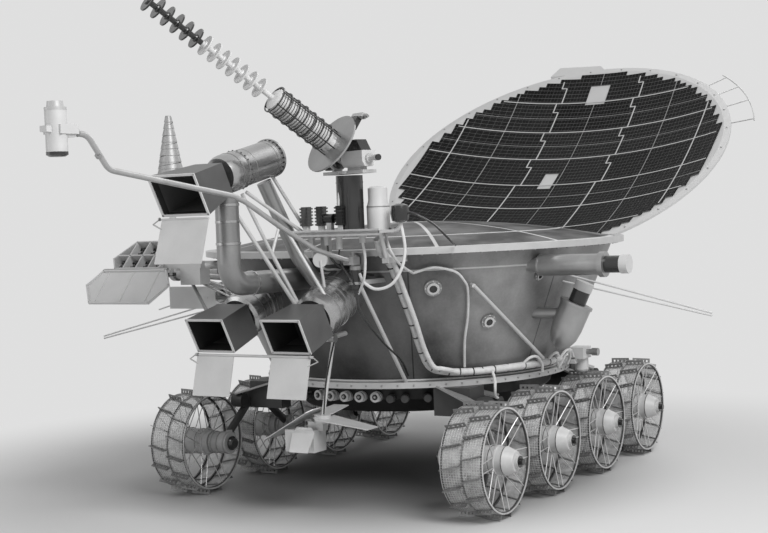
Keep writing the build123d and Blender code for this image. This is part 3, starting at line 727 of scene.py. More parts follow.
# Hubs: long white drums with raised rings, a coned end and a black cap outside. Each is turned in
# one piece, with thin dark joint rings, and turns on a short axle stub.
HUB_WHITE = worn("hub_white", 0.55, 0.45, 0.0, 0.2, 24.0)
HUB_FOOT_Y = 0.7
HUB_STEPS = mm((0, 56), (31, 56), (31, 67), (37, 67), (37, 61), (60, 61), (60, 64), (66, 64), (66, 62),
               (130, 62), (130, 66), (136, 66), (136, 62), (163, 62), (163, 67), (169, 67), (169, 62),
               (200, 62), (206, 64), (212, 60), (245, 47), (250, 43), (250, 30), (266, 30))
HUB_JOINTS = mm((66.5, 63.4), (136.5, 63.4), (200.5, 63.4))
for row, side_name, side in [(row, *place) for row in (1, 2, 3, 4) for place in SIDES]:
    node = f"wheel_{row}_{side_name}"
    low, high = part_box(node)
    foot = Vector(((low.x + high.x) / 2, side * HUB_FOOT_Y, (low.z + high.z) / 2))
    outward = Vector((0, side, 0))
    hub = Shape()
    hub.turned(foot, foot + outward, HUB_STEPS, HUB_WHITE, 32)
    hub.turned(foot + outward * 0.265, foot + outward, mm((0, 26), (4, 26), (4, 14), (18, 14)), BLACK, 20)
    for y, radius in HUB_JOINTS:
        ring_at = foot + outward * y
        hub.turned(ring_at, ring_at + outward, ((0, radius - 0.006), (0, radius), (0.0024, radius),
                                                (0.0024, radius - 0.006)), DULL, 32, True)
    hub.piece(f"drum_{row}_{side_name}", node, "hub_white", f"hub_{row}_{side_name}")


# The lid: a white pressed dish on a hinge, lined with near-black cell blocks set in rows, so that its
# edge is stepped. A few panels are a different black, and pale seams between them jog in places.
LID = worn("lid_white", 0.58, 0.45, 0.05, 0.1, 6.0)
give(LID, "lid_dish")
give(BARE, "lid_hinge")
SIDEWAYS = Vector((0, 1, 0))
HINGE_AT = at(-930, 0, 1150)
LID_OPEN = math.radians(146.5)
LID_X = Vector((math.cos(LID_OPEN), 0, math.sin(LID_OPEN)))
LID_Z = LID_X.cross(SIDEWAYS)
LID_MIDDLE = HINGE_AT + LID_X * 0.95
CELL_STEP, CELL_WIDTH = 0.035, 0.023
cells = Paint("solar_cells", 0.012, 0.5)
cells.shader.inputs["Specular IOR Level"].default_value = 0.06
middle = cells.place(LID_MIDDLE)
u, v = cells.along(middle, LID_X), cells.along(middle, SIDEWAYS)
lines = u.wrap(CELL_STEP).near(0.0, 0.0016) | v.wrap(CELL_WIDTH).near(0.0, 0.0011)
panel = cells.by_square((u + 0.1) / 0.285, (v + 0.27) / 0.54)
each = cells.by_square(u / CELL_STEP, v / CELL_WIDTH)
thin_seams = v.near(0.0, 0.002) | v.near(0.55, 0.0025) | v.near(-0.55, 0.0025)
thin_seams = thin_seams | u.near(0.33, 0.002) | u.near(-0.24, 0.0025) | u.near(0.61, 0.002)
cells.show("Base Color", 0.003 + panel * 0.008 + each * 0.006 + lines * 0.16 + thin_seams * 0.3)
cells.show("Roughness", 0.45 + each * 0.15 + lines * 0.2)
DISH_R, DISH_DEPTH = 1.034, 0.150
DISH_CURVE = (DISH_R**2 + DISH_DEPTH**2) / (2 * DISH_DEPTH)
BLOCK_ROWS, BLOCK_COLUMNS = 43, range(-26, 30)
BLOCK_WIDTH, BLOCK_GAP, BLOCK_DEPTH, BLOCK_Z = 0.046, 0.0006, 0.0055, 0.1867
ARRAY_R = 1.028
WINDOWS = ((0.75, 0.904, -0.088, 0.065), (-0.136, 0.03, -0.13, -0.01))
SEAM_WIDTH, SEAM_THICK, SEAM_Z, SEAM_INSET = 0.0075, 0.0012, 0.1829, 0.01
SEAM_ROWS = ((-0.83, 0.0), (-0.27, 0.035), (0.27, 0.035), (0.83, 0.0))
CROSSINGS = (-0.9, -0.66, -0.38, -0.10, 0.19, 0.47, 0.755, 1.0)
JOG_FROM, JOG_SHARE = -0.2, 0.7
DISH_CENTRE = LID_MIDDLE + LID_Z * (SEAM_Z - DISH_CURVE)


def on_dish(x, y, z):
    """A point on a surface inside the dish, from places along and across the lid."""
    drop = DISH_CURVE - math.sqrt(DISH_CURVE**2 - x * x - y * y)
    return LID_MIDDLE + LID_X * x + SIDEWAYS * y + LID_Z * (z - drop)


block = Shape()
block.box((0, 0, 0), (CELL_STEP - BLOCK_GAP, BLOCK_WIDTH - BLOCK_GAP, BLOCK_DEPTH), cells)
points, outs = [], []
for row in range(BLOCK_ROWS):
    y = (row - BLOCK_ROWS // 2) * BLOCK_WIDTH
    reach = math.sqrt(ARRAY_R**2 - (abs(y) + BLOCK_WIDTH / 2)**2) // CELL_STEP * CELL_STEP
    for column in BLOCK_COLUMNS:
        x = (column + 0.5) * CELL_STEP
        window = any(low < x < high and near < y < far for low, high, near, far in WINDOWS)
        if abs(x) < reach and not window:
            points.append(on_dish(x, y, BLOCK_Z))
            outs.append(LID_X * x + SIDEWAYS * y + LID_Z * math.sqrt(DISH_CURVE**2 - x * x - y * y))
repeated("cell_blocks", points, outs, block, cells, "lid", "solar_cells", 1.0, LID_X, ("solar_array",))
seams = Shape()


def seam(places):
    """One pale seam laid along the dish through places on the lid, in short flat lengths."""
    line = [on_dish(x, y, SEAM_Z) for x, y in places]
    for a, b in zip(line, line[1:]):
        if (b - a).length > 1e-6:
            seams.bar(a, b, SEAM_WIDTH, SEAM_THICK, WHITE, (a + b) / 2 - DISH_CENTRE, 0.001)


for y, jog in SEAM_ROWS:
    reach = math.sqrt(1 - y * y) - SEAM_INSET
    for low, high in zip(CROSSINGS, CROSSINGS[1:]):
        low, high = max(low, -reach), min(high, reach)
        if low < high:
            turning = low + (high - low) * JOG_SHARE if jog and low > JOG_FROM else low
            seam([(low + (turning - low) * k / 6, y + jog) for k in range(7)])
            seam(((turning, y + jog), (turning, y)))
            seam([(turning + (high - turning) * k / 6, y) for k in range(7)])
for x in CROSSINGS[1:-1]:
    reach = math.sqrt(1 - x * x) - SEAM_INSET
    seam([(x, reach * (k / 14 - 1)) for k in range(29)])
seams.piece("array_seams", "lid", "lid_white")


# The lid's edge: a white stop plate at the front lip, a bent wire bumper held off one side by four
# short rods, and small bolts around the back of the rim.
LIP_PLATE = ((1.034, -0.4), (1.15, -0.37), (1.128, -0.065), (1.046, 0.0))
LIP_Z, LIP_THICK = 0.04, 0.022
BUMPER_R, BUMPER_FOOT_R, BUMPER_Z, BUMPER_WIRE = 1.21, 1.05, 0.048, 0.0035
BUMPER_RODS = (46, 54, 63.5, 75)
EDGE_BOLT_R, EDGE_BOLT_Z = 1.052, 0.0405


def lid_out(degrees):
    """The direction out from the lid's middle, at an angle from its lip."""
    return LID_X * math.cos(math.radians(degrees)) + SIDEWAYS * math.sin(math.radians(degrees))


lid_edge = Shape()
lid_edge.plate(LIP_PLATE, LID_MIDDLE + LID_Z * LIP_Z, LID_X, LID_Z, LIP_THICK, LID)
bow = [LID_MIDDLE + lid_out(degrees) * BUMPER_R + LID_Z * BUMPER_Z for degrees in range(44, 77, 2)]
lid_edge.tube(bow, BUMPER_WIRE, BARE, 7, 1)
for degrees in BUMPER_RODS:
    ray = lid_out(degrees)
    foot, tip = [LID_MIDDLE + ray * radius + LID_Z * BUMPER_Z for radius in (BUMPER_FOOT_R, BUMPER_R)]
    lid_edge.rod(foot, tip, BUMPER_WIRE, BARE, 7)
for degrees in range(-150, 151, 12):
    spot = LID_MIDDLE + lid_out(degrees) * EDGE_BOLT_R + LID_Z * EDGE_BOLT_Z
    lid_edge.turned(spot, spot - LID_Z, mm((0, 6), (4, 6), (5, 4)), BARE, 6)
lid_edge.piece("lid_frame", "lid", "bare_metal")


# Camera hoods: grey sheet outside and dead black inside, with a pale frame sunk into each mouth. The
# black is a thin lining inside each hood, a polished lens mount stands at its back, and the flaps'
# cranks are bent rods.
BRIGHT = worn("polished_barrel", 0.44, 0.25, 0.9, 0.07, 5.0)
HOOD_PALE = worn("hood_frame", 0.62, 0.42, 0.1, 0.12, 14.0)
LINING = worn("hood_lining", 0.012, 0.7, 0.0, 0.3, 30.0)
give(worn("hood_metal", 0.11, 0.42, 0.3, 0.3, 10.0), "camera_hoods")
give(worn("flap_metal", 0.52, 0.45, 0.15, 0.14, 9.0), "upper_camera_flap", "lower_camera_flaps")
HOODS = ((0, 240, (1648, 1516), (1930, 1530), (1842, 1366), 76),
         (200, 200, (1262, 898), (1511, 915), (1430, 767), 82),
         (-200, 200, (1262, 898), (1511, 915), (1430, 767), 82))
LINING_FACES = ((4, 5, 1, 0), (5, 6, 2, 1), (6, 7, 3, 2), (7, 4, 0, 3), (7, 6, 5, 4))
MOUTH_INSET, BACK_INSET, FRAME_INSET = 0.0048, 0.0055, 0.003
CRANKS = (("upper_flap", (1846, 1354), (56, -167), ((-136, -164, -112),)),
          ("lower_flaps", (1434, 755), (44, -162), ((312, 340, 289.08), (-312, -340, -289.08))))
CRANK_ROD, CRANK_ELBOW, CRANK_END = 0.003, 0.11, 0.24


def corners_about(middle, across, up):
    """The four corners of a square about its middle, from its half sides."""
    return [middle + across * i + up * j for i, j in ((-1, -1), (1, -1), (1, 1), (-1, 1))]


linings = Shape()
for y, width, rear, top, low, half in HOODS:
    slope = at(top[0], y, top[1]) - at(low[0], y, low[1])
    up = slope.normalized()
    facing = Vector((up.z, 0, -up.x))
    mouth = (at(top[0], y, top[1]) + at(low[0], y, low[1])) / 2
    back = at(rear[0], y, rear[1])
    half_width, half_height, half_back = width / 2000, slope.length / 2, half / 1000
    rings = corners_about(mouth - facing * 0.001, SIDEWAYS * (half_width - MOUTH_INSET),
                          up * (half_height - MOUTH_INSET))
    rings += corners_about(back + facing * 0.004, SIDEWAYS * (half_back - BACK_INSET),
                           up * (half_back - BACK_INSET))
    linings.add(rings, LINING_FACES, LINING, flat=True)
    linings.turned(back + facing * 0.005, back + facing, mm((0, 50), (12, 48), (20, 30)), BRIGHT, 24)
    corners = corners_about(mouth - facing * 0.0022, SIDEWAYS * (half_width - FRAME_INSET),
                            up * (half_height - FRAME_INSET))
    for a, b in zip(corners, corners[1:] + corners[:1]):
        linings.bar(a, b, 0.0095, 0.005, HOOD_PALE, facing, 0.006)
linings.piece("hood_linings", "chassis", "hood_metal")
for body, (pin_x, pin_z), (dx, dz), rods in CRANKS:
    crank = Shape()
    for start_y, elbow_y, end_y in rods:
        elbow = at(pin_x + dx * CRANK_ELBOW, elbow_y, pin_z + dz * CRANK_ELBOW)
        crank.tube((at(pin_x, start_y * 0.9, pin_z), at(pin_x, start_y, pin_z), elbow), CRANK_ROD, BARE, 6, 1)
        crank.rod(elbow, at(pin_x + dx * CRANK_END, end_y, pin_z + dz * CRANK_END), CRANK_ROD, BARE, 6)
        inner, outer = [at(pin_x + 4, start_y * share, pin_z + 2) for share in (0.94, 0.97)]
        crank.rod(inner, outer, 0.0075, BARE, 10)
    crank.piece(body + "_cranks", body, "bare_metal")


# Camera barrels: polished and turned, with bare rings at the joints, a plug at the upper one's rear
# end and two rows of small screws. One upper barrel lies over two lower ones.
UPPER_BARREL = mm((-8, 58), (-4, 60), (-4, 86), (8, 86), (8, 80), (245, 80), (245, 84), (256, 84), (256, 81),
                  (330, 84), (352, 81), (370, 74))
LOWER_BARREL = mm((-40, 97), (0, 105), (120, 105), (120, 109), (134, 109), (134, 105), (220, 105), (250, 99),
                  (262, 84))
UPPER_RINGS = mm((20, 81.2), (45, 80.6), (200, 80.6), (300, 84.6))
BARREL_PLUG = mm((0, 30), (12, 30), (12, 12), (34, 12))
LOWER_RINGS, LOWER_RING_R = (0.06, 0.10, 0.16, 0.20), 0.1056
SCREW_ROWS, SCREWS_ROUND = mm((12, 80), (251, 84)), 24
upper_rear, upper_front = at(1250, 0, 1604), at(1640, 0, 1520)
upper_run = (upper_front - upper_rear).normalized()
lower_barrels = [(at(1010, y, 1000), at(1250, y, 905)) for y in (-200, 200)]
barrels = Shape()
barrels.turned(upper_rear, upper_front, UPPER_BARREL, BRIGHT, 56)
for rear, front in lower_barrels:
    barrels.turned(rear, front, LOWER_BARREL, BRIGHT, 64)
barrels.piece("barrel_bodies", "chassis", "camera_silver", "camera_barrels")
trim = Shape()
for distance, radius in UPPER_RINGS:
    trim.turned(upper_rear + upper_run * distance, upper_rear + upper_run * (distance + 1),
                ((0, radius), (0.004, radius)), BARE, 40)
trim.turned(upper_rear - upper_run * 0.010, upper_rear - upper_run, BARREL_PLUG, BARE, 20)
for rear, front in lower_barrels:
    run = (front - rear).normalized()
    for distance in LOWER_RINGS:
        trim.turned(rear + run * distance, rear + run * (distance + 1),
                    ((0, LOWER_RING_R), (0.005, LOWER_RING_R)), BARE, 48)
trim.piece("barrel_rings", "chassis", "camera_silver")
screw = Shape()
screw.turned((0, 0, -0.001), (0, 0, 1), mm((0, 3.5), (3, 3.5), (3.8, 2)), BARE, 6)
screw_outs = round_points(Vector((0, 0, 0)), SIDEWAYS, upper_run.cross(SIDEWAYS), 1, SCREWS_ROUND)
screw_points = [upper_rear + upper_run * distance + out * radius
                for distance, radius in SCREW_ROWS for out in screw_outs]
repeated("barrel_screws", screw_points, screw_outs * len(SCREW_ROWS), screw, DULL, "chassis", "camera_silver")


# Struts: bare rods brace the pipes against the cameras and the platform, with polished collars on the
# pipes where their lengths are joined.
PIPE = worn("pipe_metal", 0.28, 0.32, 0.7, 0.3, 8.0)
ROD = worn("pale_rod", 0.55, 0.5, 0.2, 0.15, 20.0)
give(PIPE, "camera_supports")
STRUTS = (((1547, 0, 1409), (1250, 110, 955), 9), ((1460, 0, 1450), (1331, 50, 1187), 8),
          ((1331, 50, 1187), (1240, 115, 960), 9), ((1235, 35, 1330), (1331, 50, 1187), 7),
          ((1235, 35, 1330), (1235, 290, 940), 8), ((1431, 0, 1458), (1166, 116, 1266), 8),
          ((1240, 0, 1530), (1160, 125, 1268), 8), ((1200, 212, 1150), (1195, 225, 1020), 7))
COLLARS = (((1570, 0, 1330), (1570, 0, 1339), 52, 10, BRIGHT, 32),
           ((1570, 0, 1238), (1570, 0, 1247), 53, 10, BRIGHT, 32),
           ((1570, 0, 1400), (1570, 0, 1409), 53, 10, BRIGHT, 32),
           ((1430, 0, 1068.5), (1300, 0, 1067), 53, 10, BRIGHT, 32),
           ((1106, 130, 1043), (1085, 150, 1000), 44, 14, BRIGHT, 28),
           ((1197, 210, 1152), (1210, 214, 1152), 33, 6, WHITE, 24))
struts = Shape()
for start, end, radius in STRUTS:
    struts.rod(at(*start), at(*end), radius / 1000, ROD)
for start, toward, radius, length, paint, sides in COLLARS:
    struts.turned(at(*start), at(*toward), mm((0, radius), (length, radius)), paint, sides)
struts.piece("camera_struts", "chassis", "bare_metal")


# Platform: a pale alloy shelf with folded edge rails. On it stand black finned blocks on white feet,
# a white tank and a black ball on a white pipe, and the plugs of the leads hang under it.
give(RIM, "instrument_platform")
FINNED = ((1190, 141, 21), (1190, 219.5, 21), (1222, 336.5, 13))
FINS, FIN_STEP, FIN_Z = 6, 14, 1305.5
TANK_AT = at(1086, 446, 1273)
TANK = mm((0, 50), (100, 50), (126, 42), (180, 42), (188, 30))
BALL_AT = at(1100, 563, 1303)
BALL = mm((0, 16), (8, 36), (40, 42), (72, 36), (80, 16))
BALL_PIPE = ((1104, 520, 1268), (1100, 545, 1272), (1100, 563, 1288), (1100, 563, 1310))
PLUGS = ((1170, 150, 60), (1175, 235, 48), (1180, 300, 66), (1165, 410, 40))
RAILS = (((1230, 90, 1254), (1236, 535, 1282)), ((1222, 90, 1262), (1236, 535, 1274)),
         ((1104, 90, 1250), (1236, 96, 1274)), ((1040, 400, 1262), (1104, 520, 1274)))
UPWARD = Vector((0, 0, 1))
kit = Shape()
for x, y, half in FINNED:
    kit.box(at(x, y, 1288), ((half - 8) / 500, 0.02, 0.028), WHITE)
    kit.box(at(x, y, 1342), ((half - 4) / 500, 0.032, 0.084), BLACK)
    for k in range(FINS):
        kit.box(at(x, y, FIN_Z + FIN_STEP * k), (half / 500, 0.042, 0.007), BLACK)
kit.box(at(1190, 264, 1293), (0.024, 0.024, 0.038), WHITE)
kit.rod(at(1190, 242, 1330), at(1190, 284, 1330), 0.021, BLACK, 20)
kit.turned(TANK_AT, TANK_AT + UPWARD, TANK, WHITE, 32)
kit.turned(at(1086, 446, 1372), at(1086, 446, 1400), mm((0, 51.2), (4, 51.2)), BARE, 32)
kit.turned(BALL_AT, BALL_AT + UPWARD, BALL, BLACK, 24)
kit.tube([at(*p) for p in BALL_PIPE], 0.009, WHITE, 12)
for x, y, drop in PLUGS:
    kit.turned(at(x, y, 1262), at(x, y, 1200), mm((0, 20), (18, 20), (18, 14), (drop, 14)), RIM, 16)
for low, high in RAILS:
    size = [(j - i) / 1000 for i, j in zip(low, high)]
    kit.box(at(*[(i + j) / 2 for i, j in zip(low, high)]), size, RIM)
kit.piece("platform_equipment", "chassis", "turret_grey")


# Mast: a black painted tube on the platform, with raised rolled seams, a pale and a black lead up its
# side, and dull bolts around its foot and the platform's corners.
WRAP = worn("cable_wrap", 0.58, 0.55, 0.0, 0.3, 40.0)
give(BLACK, "antenna_mast")
MAST_FOOT = at(1150, 345, 1274)
MAST_SEAMS = ((0.012, 0.0592), (0.115, 0.0587), (0.205, 0.0592))
PALE_MAST_LEAD = ((1216, 330, 1276), (1214, 326, 1330), (1206, 322, 1400), (1196, 322, 1450), (1192, 330, 1490),
                  (1176, 334, 1508))
BLACK_MAST_LEAD = ((1204, 368, 1276), (1207, 372, 1350), (1204, 372, 1440), (1190, 362, 1504))
PLATFORM_BOLTS = ((1116, 105), (1224, 105), (1116, 520), (1224, 520), (1054, 412), (1054, 508), (1150, 300),
                  (1150, 400))
mast = Shape()
for z, radius in MAST_SEAMS:
    mast.turned(MAST_FOOT + UPWARD * z, MAST_FOOT + UPWARD, ((0, radius), (0.006, radius)), BLACK, 36)
mast.tube([at(*p) for p in PALE_MAST_LEAD], 0.005, WRAP)
mast.tube([at(*p) for p in BLACK_MAST_LEAD], 0.004, BLACK)
for x, y in PLATFORM_BOLTS:
    mast.turned(at(x, y, 1273), at(x, y, 1300), mm((0, 6), (6, 6), (8, 4)), DULL, 6)
mast.piece("mast_trim", "chassis", "mast_black")


# Turret: a head that turns on the mast, with a white block whose lower corners are cut off, a black
# wedge on top, and a turned drum that is black with one white band.
AHEAD = level_out(-23.9)
ACROSS = Vector((-AHEAD.y, AHEAD.x, 0))
PIVOT = at(1150, 345, 1580)
TURRET_FACE = ((-0.034, 0.034), (0.034, 0.034), (0.034, -0.012), (0.02, -0.034), (-0.02, -0.034),
               (-0.034, -0.012))
WEDGE = ((-0.008, 0.034), (0.14, 0.034), (0.104, 0.082), (0.024, 0.082))
DRUM = ((mm((0, 38), (14, 38), (14, 34), (30, 34)), BLACK), (mm((30, 40), (62, 40)), BLACK),
        (mm((62, 45), (72, 45)), WHITE), (mm((72, 36), (97, 36)), BLACK))
DRUM_AXLE = mm((0, 20), (12, 20), (12, 10), (48, 10), (48, 13), (67, 13))
DRUM_FRONT, DRUM_REAR = PIVOT - ACROSS * 0.153, PIVOT + ACROSS * 0.156
turret = Shape()
turret.turned(at(1150, 345, 1518), at(1150, 345, 1600), mm((0, 48), (14, 48)), RIM, 28)
turret.box(at(1150, 345, 1525) + ACROSS * 0.003, (0.07, 0.31, 0.014), RIM, AHEAD)
turret.plate(TURRET_FACE, DRUM_REAR, AHEAD, -ACROSS, 0.164, WHITE)
turret.box(PIVOT + ACROSS * 0.065 - UPWARD * 0.042, (0.04, 0.09, 0.024), RIM, AHEAD)
turret.box(PIVOT - ACROSS * 0.091 - UPWARD * 0.033, (0.044, 0.014, 0.034), RIM, AHEAD)
turret.plate(WEDGE, PIVOT + AHEAD * 0.025, ACROSS, AHEAD, -0.05, BLACK)
for steps, paint in DRUM:
    turret.turned(DRUM_FRONT, PIVOT, steps, paint, 28)
turret.turned(DRUM_REAR, PIVOT + ACROSS * 0.2, DRUM_AXLE, RIM, 18)
turret.piece("turret_body", "antenna_azimuth", "turret_grey", "antenna_turret")


# Antenna: a bare metal plate carries a pale tube in a black wire cage. In front of it stands a pole
# with seven white and then six black discs, and a small handle is bolted to the yoke.
PLATE_METAL = worn("antenna_plate", 0.4, 0.34, 0.65, 0.25, 12.0)
CAGE_TUBE = worn("cage_tube", 0.6, 0.42, 0.05, 0.25, 30.0)
TILT = math.radians(34.3)
AXIS = AHEAD * math.cos(TILT) + UPWARD * math.sin(TILT)
PLATE = PIVOT + AHEAD * 0.077 + UPWARD * 0.065
UP = AXIS.cross(ACROSS)
CAGE_RINGS, CAGE_BARS, CAGE_R, CAGE_LENGTH = 7, 6, 0.059, 0.34
DISCS, WHITE_DISCS, DISC_START, DISC_STEP = 13, 7, 0.42, 0.049
DISC = mm((-7, 16), (0, 18), (0, 44), (4, 44), (4, 18), (11, 16))
DISC_EDGE = mm((-1.6, 44.6), (-0.8, 45.2), (4.6, 45.2), (5.4, 44.6))
BENT_LEAD = ((-0.118, 0.098, -0.02), (-0.112, 0.08, 0.02), (-0.085, 0.068, 0.062), (-0.04, 0.066, 0.086),
             (0.0, 0.07, 0.1), (0.04, 0.076, 0.116))
COIL_R, COIL_STEPS, COIL_PER_TURN = 0.0535, 240, 12


def on_head(across, ahead, up):
    """A point on the antenna's head, from its pivot: across, along its axis and up."""
    return PIVOT + ACROSS * across + AXIS * ahead + UP * up


helix = Shape()
helix.turned(PLATE, PLATE + AXIS, mm((0, 139), (1, 140), (8, 140)), PLATE_METAL, 56)
helix.turned(PLATE, PLATE + AXIS, mm((0, 34), (40, 34), (40, 48), (340, 48), (352, 30)), CAGE_TUBE, 32)
helix.turned(PLATE, PLATE + AXIS, mm((350, 12), (736, 12)), CAGE_TUBE, 14)
helix.turned(PLATE, PLATE + AXIS, mm((735, 12.2), (1016, 12.2)), BLACK, 14)
for k in range(CAGE_RINGS):
    near, far = 0.058 + 0.046 * k, 0.058 + 0.046 * k + 0.005
    ring_steps = ((near, 0.057), (near, 0.063), (far, 0.063), (far, 0.057))
    helix.turned(PLATE, PLATE + AXIS, ring_steps, BLACK, 32, True)
for k in range(CAGE_BARS):
    a = math.radians(30 + 60 * k)
    side_out = ACROSS * math.cos(a) + UP * math.sin(a)
    bar_foot = PLATE + side_out * CAGE_R
    helix.rod(bar_foot, bar_foot + AXIS * CAGE_LENGTH, 0.003, BLACK, 7)
    for distance in (0.0605, 0.336):
        helix.rod(PLATE + side_out * 0.04 + AXIS * distance, bar_foot + AXIS * distance, 0.0025, BLACK, 6)
for k in range(DISCS):
    distance = DISC_START + DISC_STEP * k
    helix.turned(PLATE + AXIS * distance, PLATE + AXIS * (distance + 1), DISC,
                 CAGE_TUBE if k < WHITE_DISCS else BLACK, 36)
helix.box(on_head(-0.032, 0.05, 0), (0.104, 0.03, 0.04), RIM, AXIS, UP)
helix.rod(on_head(-0.075, 0, 0), on_head(0.02, 0, 0), 0.012, BARE, 16)
helix.tube([on_head(*p) for p in BENT_LEAD], 0.005, BARE)
helix.box(on_head(0.055, 0.088, 0.125), (0.05, 0.025, 0.056), BLACK, ACROSS, UP)
helix.box(on_head(0.07, 0.088, 0.16), (0.08, 0.025, 0.018), RIM, ACROSS, UP)
handle_end = on_head(0.104, 0.088, 0.16)
helix.turned(handle_end, PIVOT + ACROSS * 2, mm((0, 10), (22, 10), (22, 6), (34, 6)), BARE, 12)
helix.piece("antenna_body", "antenna_elevation", "antenna_white", "helical_antenna")
wires = Shape()
coil = []
for k in range(COIL_STEPS + 1):
    a = 2 * math.pi * k / COIL_PER_TURN
    coil.append(PLATE + AXIS * (0.06 + 0.272 * k / COIL_STEPS) + ACROSS * COIL_R * math.cos(a)
                + UP * COIL_R * math.sin(a))
wires.tube(coil, 0.0016, BLACK, 5, 1)
for k in range(DISCS):
    start = PLATE + AXIS * (DISC_START + DISC_STEP * k)
    wires.turned(start, start + AXIS, DISC_EDGE, WHITE if k < WHITE_DISCS else BLACK, 32)
wires.turned(PLATE + AXIS * 0.0075, PLATE + AXIS, mm((0, 140.5), (0, 142.5), (3, 142.5), (3, 137.5)), BARE, 40)
wires.piece("antenna_wires", "antenna_elevation", "antenna_white")


# Drum face: a white eight-sided plate screwed to the drum's front with eight bolts around a dark
# opening, and a black button at the other end.
drum = Shape()
octagon = [DRUM_FRONT + (AHEAD * math.cos(a) + UPWARD * math.sin(a)) * 0.0445
           for a in [math.pi / 8 + math.pi / 4 * k for k in range(8)]]
octagon_faces = [(0, 1, 2, 3, 4, 5, 6, 7), tuple(range(15, 7, -1))]
octagon_faces += [(i, i + 8, (i + 1) % 8 + 8, (i + 1) % 8) for i in range(8)]
drum.add(octagon + [p - ACROSS * 0.006 for p in octagon], octagon_faces, WHITE, flat=True)
drum.turned(DRUM_FRONT - ACROSS * 0.0058, DRUM_FRONT - ACROSS, mm((0, 15), (1.2, 15)), BLACK, 20)
for spot in round_points(DRUM_FRONT - ACROSS * 0.0055, AHEAD, UPWARD, 0.034, 8):
    drum.turned(spot, spot - ACROSS, mm((0, 3), (3, 3)), BARE, 6)
drum.turned(PIVOT + ACROSS * 0.222, PIVOT + ACROSS, mm((0, 13.5), (8, 13.5)), BLACK, 16)
drum.piece("drum_face", "antenna_azimuth", "turret_grey")


# Reflector tray: small dark glasses set in a white lattice, in a tray that leans back on a pale
# bracket and two rods, all screwed together.
LATTICE = worn("tray_lattice", 0.5, 0.42, 0.1, 0.15, 16.0)
CELL_DARK = worn("tray_glass", 0.03, 0.2, 0.2, 0.4, 30.0, coat=0.5)
TRAY_UP = Vector((-0.7071, 0, 0.7071))
TRAY_OUT = Vector((0.7071, 0, 0.7071))
TRAY_FOOT = at(1303.7, -745, 1123.7)
TRAY_OUTLINE = ((-0.143, 0.012), (-0.187, 0.075), (-0.1, 0.186), (0.055, 0.186), (0.13, 0.075), (0.13, 0.012))
TRAY_RIBS = ((-0.096, 0.014, 0.178), (-0.018, 0.014, 0.184), (0.056, 0.014, 0.178))
GLASS_COLUMNS, GLASS_ROWS = range(-7, 5), 6
GLASS = mm((0, 11.5), (10, 11.5), (10, 9), (4, 1))


def on_tray(across, up, depth):
    """A point on the tray from its foot, in metres across it, up it and down into it."""
    return TRAY_FOOT + SIDEWAYS * across + TRAY_UP * up - TRAY_OUT * depth


tray = Shape()
tray.plate(TRAY_OUTLINE, on_tray(0, 0, 0.058), SIDEWAYS, TRAY_OUT, 0.012, LATTICE)
for edge in zip(TRAY_OUTLINE, TRAY_OUTLINE[1:] + TRAY_OUTLINE[:1]):
    a, b = [on_tray(across * 0.975 - 0.001, 0.1 + (up - 0.1) * 0.96, 0.029) for across, up in edge]
    tray.bar(a, b, 0.007, 0.058, LATTICE, TRAY_OUT, 0.006)
for across, low, high in TRAY_RIBS:
    tray.box(on_tray(across, (low + high) / 2, 0.027), (high - low, 0.007, 0.05), LATTICE, TRAY_UP, TRAY_OUT)
tray.box(on_tray(-0.025, 0.098, 0.027), (0.3, 0.007, 0.05), LATTICE, SIDEWAYS, TRAY_OUT)
for column in GLASS_COLUMNS:
    for row in range(GLASS_ROWS):
        across, up = column * 0.026 + 0.004, 0.028 + row * 0.028
        taper = max(0, up - 0.075)
        if -0.176 + taper * 0.78 < across < 0.122 - taper * 0.68:
            spot = on_tray(across, up, 0.0465)
            tray.turned(spot, spot + TRAY_OUT, GLASS, CELL_DARK, 6)
tray.box(at(1281, -745, 1102), (0.018, 0.42, 0.016), BLACK)
for y in (-945, -545):
    tray.box(at(1291, y, 1114), (0.026, 0.008, 0.032), RIM)
tray.box(at(1246, -520, 1144), (0.03, 0.24, 0.032), RIM)
tray.box(at(1226, -462, 1090), (0.072, 0.115, 0.076), RIM)
tray.rod(at(880, -380, 1050), at(1235, -470, 1095), 0.014, RIM, 14)
tray.rod(at(1246, -620, 1146), at(1262, -660, 1120), 0.012, RIM, 10)
tray.piece("reflector_tray", "chassis", "reflector_dark", "laser_reflector")


# Reflector cover: a white pressed pan with a turned-up edge and three ribs inside. It is hinged on a
# bare rod along the tray's lower edge, and hangs open in front of the vehicle.
COVER_WHITE = worn("cover_white", 0.6, 0.42, 0.05, 0.12, 8.0)
COVER_OUTLINE = ((-0.19, 0.006), (0.19, 0.006), (0.25, 0.095), (0.18, 0.198), (-0.18, 0.198), (-0.25, 0.095))
COVER_PIN = at(1308, -745, 1128)
COVER_DOWN = Vector((130, 0, -150)).normalized()
COVER_BACK = Vector((-150, 0, -130)).normalized()


def on_cover(across, down, front):
    """A point on the cover from its hinge, in metres across it, down it and out from its front."""
    return COVER_PIN + SIDEWAYS * across + COVER_DOWN * down - COVER_BACK * front


